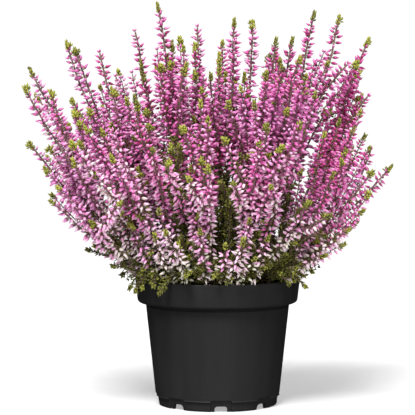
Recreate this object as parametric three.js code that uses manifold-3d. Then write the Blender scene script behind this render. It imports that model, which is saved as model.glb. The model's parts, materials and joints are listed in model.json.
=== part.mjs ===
/**
 * A bud-flowering heather in its plastic nursery pot.
 *
 * Millimetres, +Z up. The origin is the middle of the pot's base, on the surface that it stands on, and -Y is
 * the front. The pot is turned from an outline and has its drain notches cut. The peat fills it and has a plain
 * hole for each stem. Every flower spray and every leafy tuft is one closed body on a stem of its own.
 */
import * as THREE from "three";
import { mergeVertices } from "three/addons/utils/BufferGeometryUtils.js";
import Module from "manifold-3d";

const wasm = await Module();
wasm.setup();

const GAP = 0.3; // between pieces that touch
const UP = new THREE.Vector3(0, 0, 1);

// The pot

const POT = {
  height: 92,
  rimRadius: 60,
  bandRadius: 58.3, // the rim band at its lower edge
  bandHeight: 14,
  shoulderDrop: 4.4, // from the band's lower edge down to the body
  shoulderRadius: 52.4,
  bodyFootRadius: 45.1,
  bodyFootHeight: 9,
  ringRadius: 42.4, // the base ring that the pot stands on
  ringWidth: 3.6,
  wall: 1.3,
  floorUnder: 4.9,
  floorBend: 1, // size of the bend where the wall meets the floor and the band
  edge: 0.8, // rounding of the lip and the feet
  sides: 40,
  turn: THREE.MathUtils.degToRad(3), // of the notches from the front
};
const NOTCH = { count: 8, width: 7.8, height: 4.4, recessWidth: 20, recessDepth: 1.1, recessHeight: 4.6 };

// The peat

const SOIL = { wallHeight: 84, middleHeight: 86.5, relief: 0.7, rings: 4, sides: 24 };

// The plant. Stems stand straight in the peat and leave it at the collar.

const STEM = { footHeight: 75, collarHeight: 90, radius: 1, tipRadius: 0.7, step: 24 };
const HOLE_GAP = 0.45; // out from a stem's corners, which leaves GAP beside its faces
const FOOT = { share: 0.3, mostRadius: 41, tuftRadius: 48.6, apart: 5.6 };
const BUD = { step: 5.8, reach: 5.6, core: 1.35, lift: 2.4 };
const LEAF = { step: 5, reach: 2.3, core: 0.9, lift: 1.6 };
const TIP_LEAF = { step: 3.4, reach: 2.1, core: 0.9, lift: 1.4 };
const ROW_TURN = THREE.MathUtils.degToRad(26); // of each row on the one before it, past a quarter turn
const BEND = { across: 0.56, rise: 0.42 }; // where a stem's control point lies on the way to its tip
const BRANCH = { at: 0.42, lead: 0.4 }; // where a side spike leaves its stem, and how far it follows it

/**
 * One row is one spray: its leading spike, then its side spikes. A spike is the x, y and z of its tip, its
 * length in bud, and the length of the leafy tip above the buds, which is 0 where buds run to the very top.
 */
const SPRAYS = [
  // the fan on the left
  [[-135, -66, 230, 74, 7], [-118, -50, 227, 44, 7]],
  [[-133, -35, 244, 74, 7], [-132, -5, 225, 44, 7]],
  [[-111, 10, 265, 86, 7], [-86, 40, 216, 44, 7]],
  [[-101, -30, 259, 80, 7], [-90, -47, 214, 44, 7]],
  [[-88, 35, 255, 80, 0]],
  [[-73, -5, 226, 68, 7], [-75, -22, 203, 38, 7]],
  [[-63, -45, 223, 68, 7], [-49, -70, 202, 44, 7]],
  [[-80, -70, 200, 62, 7], [-87, -80, 169, 38, 7]],
  [[-134, -42, 191, 56, 7], [-94, -30, 179, 38, 7]],
  [[-118, -55, 151, 44, 6], [-66, -95, 149, 38, 6]],
  // the tall spikes in the middle
  [[-61, 45, 271, 92, 0], [-56, 30, 249, 44, 18]],
  [[-43, 0, 291, 98, 8], [-34, 20, 264, 50, 11]],
  [[-41, -30, 246, 80, 7], [-22, -40, 247, 50, 11]],
  [[-15, 35, 275, 92, 0], [-3, 55, 220, 44, 7]],
  [[-17, 0, 263, 80, 8]],
  [[1, -30, 255, 74, 18], [-5, -60, 238, 50, 7]],
  [[12, -8, 279, 92, 8]],
  [[28, 30, 280, 92, 8]],
  [[34, -50, 240, 74, 8], [7, -80, 216, 44, 8]],
  // the tall spikes on the right
  [[43, 0, 265, 86, 8], [59, -35, 252, 50, 7]],
  [[57, 50, 269, 86, 8], [48, 75, 251, 50, 7]],
  [[72, 15, 286, 98, 8], [93, -5, 247, 50, 0]],
  [[92, 50, 284, 98, 8], [108, 60, 243, 50, 6]],
  [[110, 30, 266, 86, 8], [110, 3, 223, 44, 0]],
  [[134, 74, 171, 62, 8], [114, 40, 183, 50, 0]],
  [[112, -20, 170, 62, 7], [86, -55, 178, 44, 7]],
  // the front
  [[51, -60, 232, 68, 0], [47, -80, 213, 44, 7]],
  [[56, -90, 203, 62, 7], [36, -105, 154, 38, 7]],
  [[-58, -75, 223, 68, 13], [-44, -105, 181, 38, 7]],
  [[-12, -85, 217, 68, 7], [-25, -98, 197, 38, 7]],
  [[34, -100, 198, 62, 7], [3, -107, 185, 38, 7]],
  [[24, -75, 184, 50, 7], [10, -114, 154, 38, 7]],
  [[-10, -90, 177, 44, 7], [-20, -112, 160, 32, 7]],
  [[-33, -60, 189, 50, 7], [-34, -114, 170, 38, 7]],
  [[16, -95, 120, 26, 7]],
  [[62, -70, 150, 38, 7], [80, -62, 141, 32, 7]],
  // the back
  [[-110, 62, 222, 68, 7], [-97, 84, 188, 38, 7]],
  [[-78, 84, 236, 74, 0], [-60, 102, 200, 44, 7]],
  [[-38, 92, 250, 80, 7], [-20, 112, 206, 44, 0]],
  [[4, 82, 262, 86, 7], [14, 112, 218, 44, 7]],
  [[36, 104, 228, 68, 7], [30, 116, 178, 38, 7]],
  [[76, 86, 247, 80, 0], [66, 108, 199, 44, 7]],
  [[108, 82, 214, 68, 7], [94, 96, 168, 38, 7]],
  [[-126, 40, 186, 56, 7], [-112, 66, 158, 38, 7]],
  [[-58, 108, 156, 44, 7], [-26, 116, 160, 38, 7]],
  [[56, 112, 152, 44, 7], [8, 117, 160, 38, 7]],
];

/**
 * One row is one tuft of leafy shoots: its bearing in degrees, then its shoots. A shoot is how far from the
 * pot's axis it ends, how high, and how many degrees it turns away from the tuft's bearing.
 */
const TUFTS = [
  [-148, [86, 116, -10], [72, 86, 4], [70, 90, 18], [66, 112, 10]],
  [-116, [70, 86, -10], [72, 98, 8], [68, 122, 2], [62, 108, 16]],
  [-80, [74, 112, 0], [70, 98, -12], [64, 118, 12]],
  [-44, [92, 124, 10], [72, 92, -2], [71, 88, 16], [66, 104, -16]],
  [-10, [86, 116, 6], [72, 98, -8], [66, 120, -16]],
  [26, [80, 112, 0], [70, 92, 12], [64, 120, -12]],
  [50, [78, 116, -4], [70, 90, 8], [64, 108, -14]],
  [86, [76, 112, 6], [70, 96, -8], [64, 120, 14]],
  [128, [80, 116, -6], [70, 90, 8], [64, 112, -16]],
  [172, [84, 112, 0], [70, 94, 12], [66, 120, -12]],
];

const TUFT_SHOOT = { overAt: 0.55, overRise: 8, droopRise: 0.9 }; // how a shoot arches on its way to its tip

// How the stems are bent clear of each other and of the rim. Room is what each stem takes, out from its middle.

const SETTLE = { samples: 24, rounds: 60, push: 0.28, spring: 0.04, freeFrom: 3 };
const ROOM = { bud: 4.6, stem: 2.2, leaf: 3, atRim: 0.7, rimGap: 1.2 };
const REACH = { margin: 0.75, lookWithin: 16 }; // a bud ends this much nearer its own stem than any other

// How the relief is laid out along a shoot: the shares are of its length or of the full reach.

const LAYOUT = { leastBare: 0.12, firstShare: 0.7, growth: 0.15, endShare: 0.5, taper: 0.055, uneven: 0.24 };

const finish = (color, roughness) => new THREE.MeshStandardMaterial({ color, roughness, metalness: 0 });
const POT_PLASTIC = finish(0x26272a, 0.5);
const PEAT = finish(0x2f1f17, 0.95);
const BLOSSOM = finish(0xc9499f, 0.7);
const FOLIAGE = finish(0x66742b, 0.75);

/** A repeatable stream of numbers from 0 to 1. */
function randomStream(seed) {
  let state = seed >>> 0;
  return () => {
    state = (state + 0x6d2b79f5) >>> 0;
    let t = state;
    t = Math.imul(t ^ (t >>> 15), t | 1);
    t ^= t + Math.imul(t ^ (t >>> 7), t | 61);
    return ((t ^ (t >>> 14)) >>> 0) / 4294967296;
  };
}

/** The solid inside a closed geometry. */
function solid(geometry) {
  const bare = new THREE.BufferGeometry();
  bare.setAttribute("position", geometry.getAttribute("position").clone());
  if (geometry.index) bare.setIndex(geometry.index.clone());
  const merged = mergeVertices(bare, 1e-4);
  const corners = merged.index.array;
  const kept = [];
  for (let i = 0; i < corners.length; i += 3) {
    const [a, b, c] = corners.slice(i, i + 3);
    if (a !== b && b !== c && c !== a) kept.push(a, b, c);
  }
  const vertProperties = Float32Array.from(merged.getAttribute("position").array);
  return new wasm.Manifold(new wasm.Mesh({ numProp: 3, vertProperties, triVerts: Uint32Array.from(kept) }));
}

/** A named mesh of a solid. */
function node(name, body, material) {
  const { vertProperties, triVerts } = body.getMesh();
  const geometry = new THREE.BufferGeometry();
  geometry.setAttribute("position", new THREE.BufferAttribute(vertProperties, 3));
  geometry.setIndex(new THREE.BufferAttribute(triVerts, 1));
  const mesh = new THREE.Mesh(geometry, material);
  mesh.name = name;
  return mesh;
}

/** A shape turned from an outline in radius and height, which runs from the axis up the outside and back in. */
function turned(outline, sides, arcSteps) {
  return new THREE.LatheGeometry(outline.getPoints(arcSteps), sides).rotateX(Math.PI / 2);
}

/** Corners of the wall's inner face, or of a face inset from it, as radius and height, from the top down. */
function innerWall(inset) {
  const { height, rimRadius, bandRadius, bandHeight, shoulderDrop, shoulderRadius, wall } = POT;
  const { bodyFootRadius, bodyFootHeight, floorUnder, floorBend } = POT;
  const away = wall + inset;
  return {
    lip: [rimRadius - away, height],
    bandFoot: [bandRadius - away, height - bandHeight + floorBend],
    shoulder: [shoulderRadius - away, height - bandHeight - shoulderDrop + wall],
    foot: [bodyFootRadius - away, bodyFootHeight + floorBend],
    floor: [bodyFootRadius - away - 3 * floorBend, floorUnder + away],
  };
}

function potSolid() {
  const { height, rimRadius, bandRadius, bandHeight, shoulderDrop, shoulderRadius } = POT;
  const { bodyFootRadius, bodyFootHeight, ringRadius, ringWidth, floorUnder, edge } = POT;
  const bandFoot = height - bandHeight;
  const shoulder = bandFoot - shoulderDrop;
  const inner = innerWall(0);
  const outline = new THREE.Path()
    .moveTo(0, floorUnder)
    .lineTo(ringRadius - ringWidth - 0.4, floorUnder)
    .lineTo(ringRadius - ringWidth, 0)
    .lineTo(ringRadius - edge, 0)
    .quadraticCurveTo(ringRadius, 0, ringRadius, edge)
    .lineTo(ringRadius + 0.2, floorUnder)
    .quadraticCurveTo(bodyFootRadius, bodyFootHeight - 3, bodyFootRadius, bodyFootHeight)
    .lineTo(shoulderRadius, shoulder)
    .quadraticCurveTo(bandRadius, shoulder + 0.6, bandRadius, bandFoot)
    .lineTo(rimRadius, height - edge)
    .lineTo(rimRadius - edge / 2, height)
    .lineTo(...inner.lip)
    .lineTo(...inner.bandFoot)
    .lineTo(...inner.shoulder)
    .lineTo(...inner.foot)
    .lineTo(...inner.floor)
    .lineTo(0, inner.floor[1]);
  let body = solid(turned(outline, POT.sides, 2));
  for (let i = 0; i < NOTCH.count; i += 1) {
    const bearing = -Math.PI / 2 + POT.turn + (i * 2 * Math.PI) / NOTCH.count;
    const through = notchCutter(NOTCH.width, NOTCH.height, ringRadius - 2 * ringWidth, bearing);
    body = body.subtract(solid(through));
    const recessFrom = ringRadius - NOTCH.recessDepth;
    const recess = notchCutter(NOTCH.recessWidth, NOTCH.recessHeight, recessFrom, bearing);
    body = body.subtract(solid(recess));
  }
  return body;
}

/** A block that cuts the base ring from below, from a radius out through its outer face. */
function notchCutter(width, height, fromRadius, bearing) {
  const depth = 8;
  const block = new THREE.BoxGeometry(depth, width, 2 * height);
  return block.translate(fromRadius + depth / 2, 0, 0).rotateZ(bearing);
}

/** The height of the peat's surface. */
function peatHeight(x, y) {
  const { wallHeight, middleHeight, relief } = SOIL;
  const out = Math.hypot(x, y) / POT.bandRadius;
  const crumb = Math.sin(x * 0.31 + 1) * Math.cos(y * 0.27) + 0.5 * Math.sin(x * 0.7 - y * 0.55);
  return wallHeight + (middleHeight - wallHeight) * (1 - out * out) + relief * crumb;
}

function soilSolid(chains) {
  const wall = innerWall(GAP);
  const outline = new THREE.Path()
    .moveTo(0, wall.floor[1])
    .lineTo(...wall.floor)
    .lineTo(...wall.foot)
    .lineTo(...wall.shoulder)
    .lineTo(...wall.bandFoot);
  const surfaceRadius = wall.bandFoot[0];
  for (let i = 0; i <= SOIL.rings; i += 1) {
    outline.lineTo(surfaceRadius * (1 - i / SOIL.rings), SOIL.wallHeight);
  }
  const geometry = turned(outline, SOIL.sides, 1);
  const position = geometry.getAttribute("position");
  for (let i = 0; i < position.count; i += 1) {
    if (position.getZ(i) > SOIL.wallHeight - 1e-3) {
      position.setZ(i, peatHeight(position.getX(i), position.getY(i)));
    }
  }
  let body = solid(geometry);
  for (const chain of chains.filter((c) => !c.parent)) {
    const bottom = STEM.footHeight - GAP - 0.1;
    const rings = [bottom, STEM.collarHeight + 5].map((z) =>
      ring(new THREE.Vector3(chain.foot.x, chain.foot.y, z), FIRST_FRAME, () => STEM.radius + HOLE_GAP),
    );
    body = body.subtract(solid(skin(rings, null)));
  }
  return body;
}

// Shoots are rings of four corners, joined in order. A row of buds or leaves pulls two opposite corners out, and
// the next row the other two, so they stand in crossed pairs as they do on a heather.

const FIRST_FRAME = { u: new THREE.Vector3(1, 0, 0), v: new THREE.Vector3(0, 1, 0), t: UP.clone() };

/** The way out from a stem's middle at an angle. */
function outwards(frame, angle) {
  const { u, v } = frame;
  return new THREE.Vector3().addScaledVector(u, Math.cos(angle)).addScaledVector(v, Math.sin(angle));
}

/** Four corners round a point, in a frame, at the distance that reach gives for each way out. */
function ring(centre, frame, reach, lift = () => 0, turn = 0) {
  return [0, 1, 2, 3].map((j) => {
    const out = outwards(frame, turn + (j * Math.PI) / 2);
    return centre.clone().addScaledVector(out, reach(j, out)).addScaledVector(frame.t, lift(j));
  });
}

/** The closed surface over a stack of rings, ending in a point, or flat if there is none. */
function skin(rings, point) {
  const corners = rings.flat();
  const faces = [0, 2, 1, 0, 3, 2];
  for (let k = 0; k + 1 < rings.length; k += 1) {
    for (let j = 0; j < 4; j += 1) {
      const a = 4 * k + j;
      const b = 4 * k + ((j + 1) % 4);
      const d = a + 4;
      const c = b + 4;
      // the split joins the two corners that lie in, so that each corner that stands out tops a pyramid
      if ((j + k) % 2 === 0) faces.push(a, b, d, b, c, d);
      else faces.push(a, b, c, a, c, d);
    }
  }
  const top = 4 * (rings.length - 1);
  if (point) {
    corners.push(point);
    for (let j = 0; j < 4; j += 1) faces.push(top + j, top + ((j + 1) % 4), corners.length - 1);
  } else {
    faces.push(top, top + 1, top + 2, top, top + 2, top + 3);
  }
  const geometry = new THREE.BufferGeometry();
  geometry.setAttribute("position", new THREE.Float32BufferAttribute(corners.flatMap((p) => p.toArray()), 3));
  geometry.setIndex(faces);
  return geometry;
}

/** The frame at a point further along, turned as little as it can be. */
function carried(frame, direction) {
  const turn = new THREE.Quaternion().setFromUnitVectors(frame.t, direction);
  const [u, v] = [frame.u, frame.v].map((side) => side.clone().applyQuaternion(turn));
  return { u, v, t: direction.clone() };
}

// Chains: the middle line of every spike and shoot, as evenly spaced points

/** A chain from a curve. Its kind is "spike" or "leafy", and parent is the chain that it grows from. */
function chainOf(curve, details) {
  const points = curve.getPoints(SETTLE.samples);
  return { ...details, points, home: points.map((p) => p.clone()) };
}

function stemCurve(from, tip) {
  const control = new THREE.Vector3(
    THREE.MathUtils.lerp(from.x, tip.x, BEND.across),
    THREE.MathUtils.lerp(from.y, tip.y, BEND.across),
    THREE.MathUtils.lerp(from.z, tip.z, BEND.rise),
  );
  return new THREE.QuadraticBezierCurve3(from, control, tip);
}

function sprayChains(row, spray) {
  const [[x, y, z, inBud, leafyTip], ...sides] = row;
  const tip = new THREE.Vector3(x, y, z);
  const foot = new THREE.Vector2(x, y).multiplyScalar(FOOT.share).clampLength(0, FOOT.mostRadius);
  const collar = new THREE.Vector3(foot.x, foot.y, STEM.collarHeight);
  const leader = chainOf(stemCurve(collar, tip), { spray, kind: "spike", inBud, leafyTip, foot });
  const branches = sides.map(([sx, sy, sz, sideInBud, sideLeafyTip], i) => {
    const at = Math.round(SETTLE.samples * (BRANCH.at - 0.1 * i));
    const from = leader.points[at];
    const along = leader.points[at + 1].clone().sub(from).normalize();
    const sideTip = new THREE.Vector3(sx, sy, sz);
    const control = from.clone().addScaledVector(along, BRANCH.lead * from.distanceTo(sideTip));
    const curve = new THREE.QuadraticBezierCurve3(from, control, sideTip);
    const details = { spray, kind: "spike", inBud: sideInBud, leafyTip: sideLeafyTip, parent: leader, at };
    return chainOf(curve, details);
  });
  return [leader, ...branches];
}

function tuftChains([bearing, ...shoots], spray) {
  const angle = THREE.MathUtils.degToRad(bearing);
  const foot = new THREE.Vector2(Math.cos(angle), Math.sin(angle)).multiplyScalar(FOOT.tuftRadius);
  const collar = new THREE.Vector3(foot.x, foot.y, STEM.collarHeight);
  let leader;
  return shoots.map(([reach, height, turn], i) => {
    const away = angle + THREE.MathUtils.degToRad(turn);
    const tip = new THREE.Vector3(reach * Math.cos(away), reach * Math.sin(away), height);
    const over = new THREE.Vector3().lerpVectors(collar, tip, TUFT_SHOOT.overAt);
    const droop = Math.max(0, POT.height + 2 - height);
    over.z = Math.max(collar.z, tip.z) + TUFT_SHOOT.overRise + TUFT_SHOOT.droopRise * droop;
    const at = 1 + i;
    const from = leader ? leader.points[at] : collar;
    const chain = chainOf(new THREE.QuadraticBezierCurve3(from, over, tip), {
      spray, kind: "leafy", inBud: 0, leafyTip: 0, foot, parent: leader, at,
    });
    leader ??= chain;
    return chain;
  });
}

/** Moves the feet of the stems apart where they stand too close in the peat. */
function spreadFeet(chains) {
  const leaders = chains.filter((c) => !c.parent);
  for (let round = 0; round < 30; round += 1) {
    for (const a of leaders) {
      for (const b of leaders) {
        const apart = a.foot.distanceTo(b.foot);
        if (a === b || apart >= FOOT.apart) continue;
        const share = (0.5 * (FOOT.apart - apart)) / Math.max(apart, 0.01);
        const push = a.foot.clone().sub(b.foot).multiplyScalar(share);
        a.foot.add(push);
        b.foot.sub(push);
      }
    }
  }
  for (const leader of leaders) {
    const shift = new THREE.Vector3(leader.foot.x, leader.foot.y, STEM.collarHeight).sub(leader.points[0]);
    leader.points.forEach((p, k) => p.addScaledVector(shift, (1 - k / SETTLE.samples) ** 2));
    leader.home = leader.points.map((p) => p.clone());
  }
}

/** How much room a chain takes at one of its points. */
function room(chain, k) {
  if (chain.kind === "leafy") return k < SETTLE.freeFrom ? ROOM.stem : ROOM.leaf;
  const fromTip = (1 - k / SETTLE.samples) * chain.length;
  if (fromTip < chain.leafyTip) return ROOM.leaf;
  return fromTip < chain.leafyTip + chain.inBud ? ROOM.bud : ROOM.stem;
}

function lengthOf(points) {
  return points.slice(1).reduce((sum, p, i) => sum + p.distanceTo(points[i]), 0);
}

/** How far a point is pushed out of the rim band, which is a ring of oblong section. */
function rimPush(point, clear) {
  const out = Math.hypot(point.x, point.y);
  const nearOut = THREE.MathUtils.clamp(out, POT.bandRadius - POT.wall, POT.rimRadius);
  const nearUp = Math.min(point.z, POT.height);
  const awayOut = out - nearOut;
  const awayUp = point.z - nearUp;
  const away = Math.hypot(awayOut, awayUp);
  if (away >= clear) return new THREE.Vector3();
  if (away < 1e-6) return new THREE.Vector3(0, 0, clear);
  const push = (clear - away) / away;
  const outwards = (awayOut * push) / out;
  return new THREE.Vector3(point.x * outwards, point.y * outwards, awayUp * push);
}

/** Bends the chains clear of each other and of the rim. Feet are held, and side shoots stay on their stems. */
function settle(chains) {
  const last = SETTLE.samples;
  for (const chain of chains) {
    chain.length = lengthOf(chain.points);
    chain.room = chain.points.map((_, k) => room(chain, k));
  }
  for (let round = 0; round < SETTLE.rounds; round += 1) {
    const moves = chains.map((chain) => chain.points.map((p, k) => {
      const move = chain.home[k].clone().sub(p).multiplyScalar(SETTLE.spring);
      return move.add(rimPush(p, chain.room[k] * ROOM.atRim + ROOM.rimGap));
    }));
    for (let i = 0; i < chains.length; i += 1) {
      for (let j = i + 1; j < chains.length; j += 1) {
        if (chains[i].spray !== chains[j].spray) pushApart(chains[i], chains[j], moves[i], moves[j]);
      }
    }
    chains.forEach((chain, i) => {
      const move = moves[i];
      chain.points.forEach((p, k) => {
        if (k === 0) return;
        const eased = move[k].clone().multiplyScalar(0.5).addScaledVector(move[k - 1], 0.25);
        eased.addScaledVector(move[Math.min(k + 1, last)], 0.25);
        p.addScaledVector(eased, Math.min(1, k / SETTLE.freeFrom));
      });
    });
    for (const chain of chains.filter((c) => c.parent)) {
      const shift = chain.parent.points[chain.at].clone().sub(chain.points[0]);
      chain.points.forEach((p, k) => p.addScaledVector(shift, (1 - k / last) ** 2));
    }
  }
}

function pushApart(a, b, movesOfA, movesOfB) {
  const between = new THREE.Vector3();
  for (let k = 0; k < a.points.length; k += 1) {
    for (let m = 0; m < b.points.length; m += 1) {
      const need = a.room[k] + b.room[m];
      between.subVectors(a.points[k], b.points[m]);
      const apart = between.length();
      if (apart >= need) continue;
      between.multiplyScalar((SETTLE.push * (need - apart)) / Math.max(apart, 0.01));
      movesOfA[k].add(between);
      movesOfB[m].sub(between);
    }
  }
}

/** The longest reach from a point in a direction that stays nearer its own stem than any other spray's. */
function clearReach(from, direction, wanted, others) {
  let reach = wanted;
  const away = new THREE.Vector3();
  for (const other of others) {
    away.subVectors(from, other);
    const lean = REACH.margin - direction.dot(away);
    if (lean > 0) reach = Math.min(reach, (away.lengthSq() - REACH.margin ** 2) / (2 * lean));
  }
  return reach;
}

/** The rows of a chain: how far along each lies, its relief if any, and its share of that relief's reach. */
function rowsOf(chain) {
  const rows = [];
  const { length, inBud, leafyTip } = chain;
  const isSpike = chain.kind === "spike";
  const reliefFrom = Math.max(LAYOUT.leastBare * length, isSpike ? length - leafyTip - inBud : 0);
  const relief = isSpike ? BUD : LEAF;
  const bare = Math.max(1, Math.round(reliefFrom / STEM.step));
  for (let i = 0; i < bare; i += 1) rows.push({ along: (reliefFrom * i) / bare, relief: null });
  const reliefTo = length - (leafyTip || relief.step / 2);
  const count = Math.max(2, Math.round((reliefTo - reliefFrom) / relief.step));
  for (let i = 0; i < count; i += 1) {
    const along = reliefFrom + ((reliefTo - reliefFrom) * (i + 0.25)) / count;
    const fromEnd = LAYOUT.endShare + LAYOUT.taper * (length - along);
    rows.push({ along, relief, share: Math.min(1, LAYOUT.firstShare + LAYOUT.growth * i, fromEnd) });
  }
  const leaves = leafyTip ? Math.max(1, Math.round(leafyTip / TIP_LEAF.step) - 1) : 0;
  for (let i = 0; i < leaves; i += 1) {
    const along = reliefTo + (leafyTip * (i + 0.25)) / (leaves + 0.75);
    rows.push({ along, relief: TIP_LEAF, share: 1 - LAYOUT.growth * i });
  }
  return rows;
}

/** The body of one chain. */
function chainSolid(chain, index, others) {
  const random = randomStream(1 + index * 7919);
  const curve = new THREE.CatmullRomCurve3(chain.points, false, "centripetal");
  const length = curve.getLength();
  const scale = length / chain.length;
  const near = others.filter((p) => chain.points.some((q) => q.distanceTo(p) < REACH.lookWithin));
  const rings = [];
  let frame = FIRST_FRAME;
  let turn = 0;
  if (!chain.parent) {
    const foot = new THREE.Vector3(chain.foot.x, chain.foot.y, STEM.footHeight);
    rings.push(ring(foot, frame, () => STEM.radius));
  }
  for (const { along, relief, share } of rowsOf(chain)) {
    const u = Math.min(1, (along * scale) / length);
    const centre = curve.getPointAt(u);
    frame = u === 0 && !chain.parent ? FIRST_FRAME : carried(frame, curve.getTangentAt(u));
    const thin = THREE.MathUtils.lerp(STEM.radius, STEM.tipRadius, u);
    if (!relief) {
      rings.push(ring(centre, frame, () => thin));
      continue;
    }
    const k = rings.length;
    const { core } = relief;
    const reach = (j, out) => {
      if ((j + k) % 2) return core;
      const wanted = relief.reach * share * (1 + LAYOUT.uneven * (random() - 0.5));
      return Math.max(core, clearReach(centre, out, wanted, near));
    };
    const lift = (j) => ((j + k) % 2 ? 0 : relief.lift * share * (1 + LAYOUT.uneven * (random() - 0.5)));
    rings.push(ring(centre, frame, reach, lift, turn));
    turn += ROW_TURN;
  }
  return solid(skin(rings, curve.getPointAt(1)));
}

/** Points along a chain, close enough together to measure from. */
function finePoints(chain) {
  return chain.points.flatMap((p, k) => {
    const next = chain.points[k + 1];
    return next ? [0, 1 / 3, 2 / 3].map((s) => p.clone().lerp(next, s)) : [p];
  });
}

function plantMeshes(chains) {
  const fine = chains.map(finePoints);
  const meshes = [];
  const count = chains.at(-1).spray + 1;
  for (let spray = 0; spray < count; spray += 1) {
    const others = fine.filter((_, i) => chains[i].spray !== spray).flat();
    const own = chains.map((chain, i) => [chain, i]).filter(([chain]) => chain.spray === spray);
    let body = null;
    for (const [chain, i] of own) {
      const grown = chainSolid(chain, i, others);
      body = body ? body.add(grown) : grown;
    }
    const isTuft = own[0][0].kind === "leafy";
    const number = isTuft ? spray - SPRAYS.length + 1 : spray + 1;
    const name = `${isTuft ? "leafy_tuft" : "flower_spray"}_${String(number).padStart(2, "0")}`;
    meshes.push(node(name, body, isTuft ? FOLIAGE : BLOSSOM));
  }
  return meshes;
}

const chains = [
  ...SPRAYS.flatMap((row, i) => sprayChains(row, i)),
  ...TUFTS.flatMap((row, i) => tuftChains(row, SPRAYS.length + i)),
];
spreadFeet(chains);
settle(chains);

const heather = new THREE.Group();
heather.add(node("pot", potSolid(), POT_PLASTIC));
heather.add(node("soil", soilSolid(chains), PEAT));
heather.add(...plantMeshes(chains));

export default heather;
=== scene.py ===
"""A bud-flowering heather in its plastic nursery pot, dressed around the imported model.

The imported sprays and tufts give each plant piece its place. Here every stem is grown again along the
same line and set with closed buds, bracts and scale leaves, and finer side shoots fill the plant between
them. Lengths are in millimetres until a piece is finished, and the plant's own tables are the ones that
its solids were made from.
"""

from __future__ import annotations

import json
import logging
import math
import random
from collections import defaultdict
from dataclasses import dataclass, field
from enum import IntEnum
from itertools import permutations

import bmesh
import bpy
import numpy as np
from mathutils import Matrix, Vector, noise

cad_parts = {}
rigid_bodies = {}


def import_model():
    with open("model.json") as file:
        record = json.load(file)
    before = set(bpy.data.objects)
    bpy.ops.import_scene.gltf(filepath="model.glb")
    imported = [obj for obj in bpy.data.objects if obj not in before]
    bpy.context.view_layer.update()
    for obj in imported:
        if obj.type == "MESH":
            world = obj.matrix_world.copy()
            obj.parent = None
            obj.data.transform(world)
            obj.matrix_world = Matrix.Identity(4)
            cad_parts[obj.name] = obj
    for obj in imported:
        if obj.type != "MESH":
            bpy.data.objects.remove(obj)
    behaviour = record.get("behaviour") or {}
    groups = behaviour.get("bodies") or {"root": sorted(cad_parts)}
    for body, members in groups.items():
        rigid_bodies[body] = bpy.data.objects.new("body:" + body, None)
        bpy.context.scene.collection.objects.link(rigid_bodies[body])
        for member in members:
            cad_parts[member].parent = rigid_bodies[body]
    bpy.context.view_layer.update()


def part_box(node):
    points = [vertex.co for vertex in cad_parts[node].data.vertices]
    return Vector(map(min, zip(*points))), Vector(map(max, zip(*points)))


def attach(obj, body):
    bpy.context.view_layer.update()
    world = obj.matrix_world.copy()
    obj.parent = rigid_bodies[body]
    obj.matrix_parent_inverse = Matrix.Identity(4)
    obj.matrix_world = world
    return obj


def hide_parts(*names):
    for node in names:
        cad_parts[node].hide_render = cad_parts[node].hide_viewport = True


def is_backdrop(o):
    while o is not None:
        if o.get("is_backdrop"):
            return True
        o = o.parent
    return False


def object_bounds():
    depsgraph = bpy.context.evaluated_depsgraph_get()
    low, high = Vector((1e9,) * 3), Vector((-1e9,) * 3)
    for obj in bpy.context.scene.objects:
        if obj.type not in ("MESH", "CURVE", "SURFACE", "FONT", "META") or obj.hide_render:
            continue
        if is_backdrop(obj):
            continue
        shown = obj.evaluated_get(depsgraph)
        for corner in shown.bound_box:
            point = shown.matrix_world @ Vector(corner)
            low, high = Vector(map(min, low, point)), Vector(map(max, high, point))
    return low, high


LOG = logging.getLogger("heather")
MM = 0.001
TINY = 1e-6
WELD_GAP = 1e-4
UP = np.array([0.0, 0.0, 1.0])
Array = np.ndarray
Piece = bpy.types.Object
Material = bpy.types.Material
Socket = bpy.types.NodeSocket
Shape = bmesh.types.BMesh
Range = tuple[float, float]
Colour = tuple[float, float, float]
Stops = tuple[tuple[float, Colour], ...]
# a value's range, and the range that it is carried to
Spread = tuple[float, float, float, float]
# the x, y and z of a spike's tip, its length in bud and the length of its leafy tip
SpikeRow = tuple[float, float, float, float, float]


class Finish(IntEnum):
    """The finishes of a plant piece, in the order of its material slots."""

    BARK = 0
    SEPAL = 1
    LEAF = 2


class Habit(IntEnum):
    """What a shoot carries."""

    SPIKE = 0
    LEAFY = 1


# The plant's lines, grown as its solids were.


@dataclass
class Chain:
    """The middle line of one spike or leafy shoot.

    It has the number of its spray, its habit, its points, its length in bud and its length in leaf above
    the buds. A leader has its foot in the peat, and a side shoot the chain that it grows from and the
    number of the point there. Home is where it was drawn, and room how far it keeps from others.
    """

    spray: int
    habit: Habit
    points: Array
    in_bud: float = 0.0
    leafy_tip: float = 0.0
    foot: Array | None = None
    parent: Chain | None = None
    at: int = 0
    home: Array = field(init=False)
    room: Array = field(init=False)

    def __post_init__(self) -> None:
        """Remembers where the chain was drawn."""
        self.home = self.points.copy()

    def length(self) -> float:
        """The length along the chain's points."""
        return float(np.linalg.norm(np.diff(self.points, axis=0), axis=1).sum())


def bend(start: Array, control: Array, end: Array, samples: int) -> Array:
    """Points along a line from start to end that bends towards a control point, one more than samples."""
    t = np.linspace(0, 1, samples + 1)[:, None]
    return (1 - t) ** 2 * start + 2 * (1 - t) * t * control + t**2 * end


def polar(out: float, bearing: float, height: float) -> Array:
    """The point so far out from the plant's middle line, at a bearing in radians and at a height."""
    return np.array([out * math.cos(bearing), out * math.sin(bearing), height])


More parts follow.
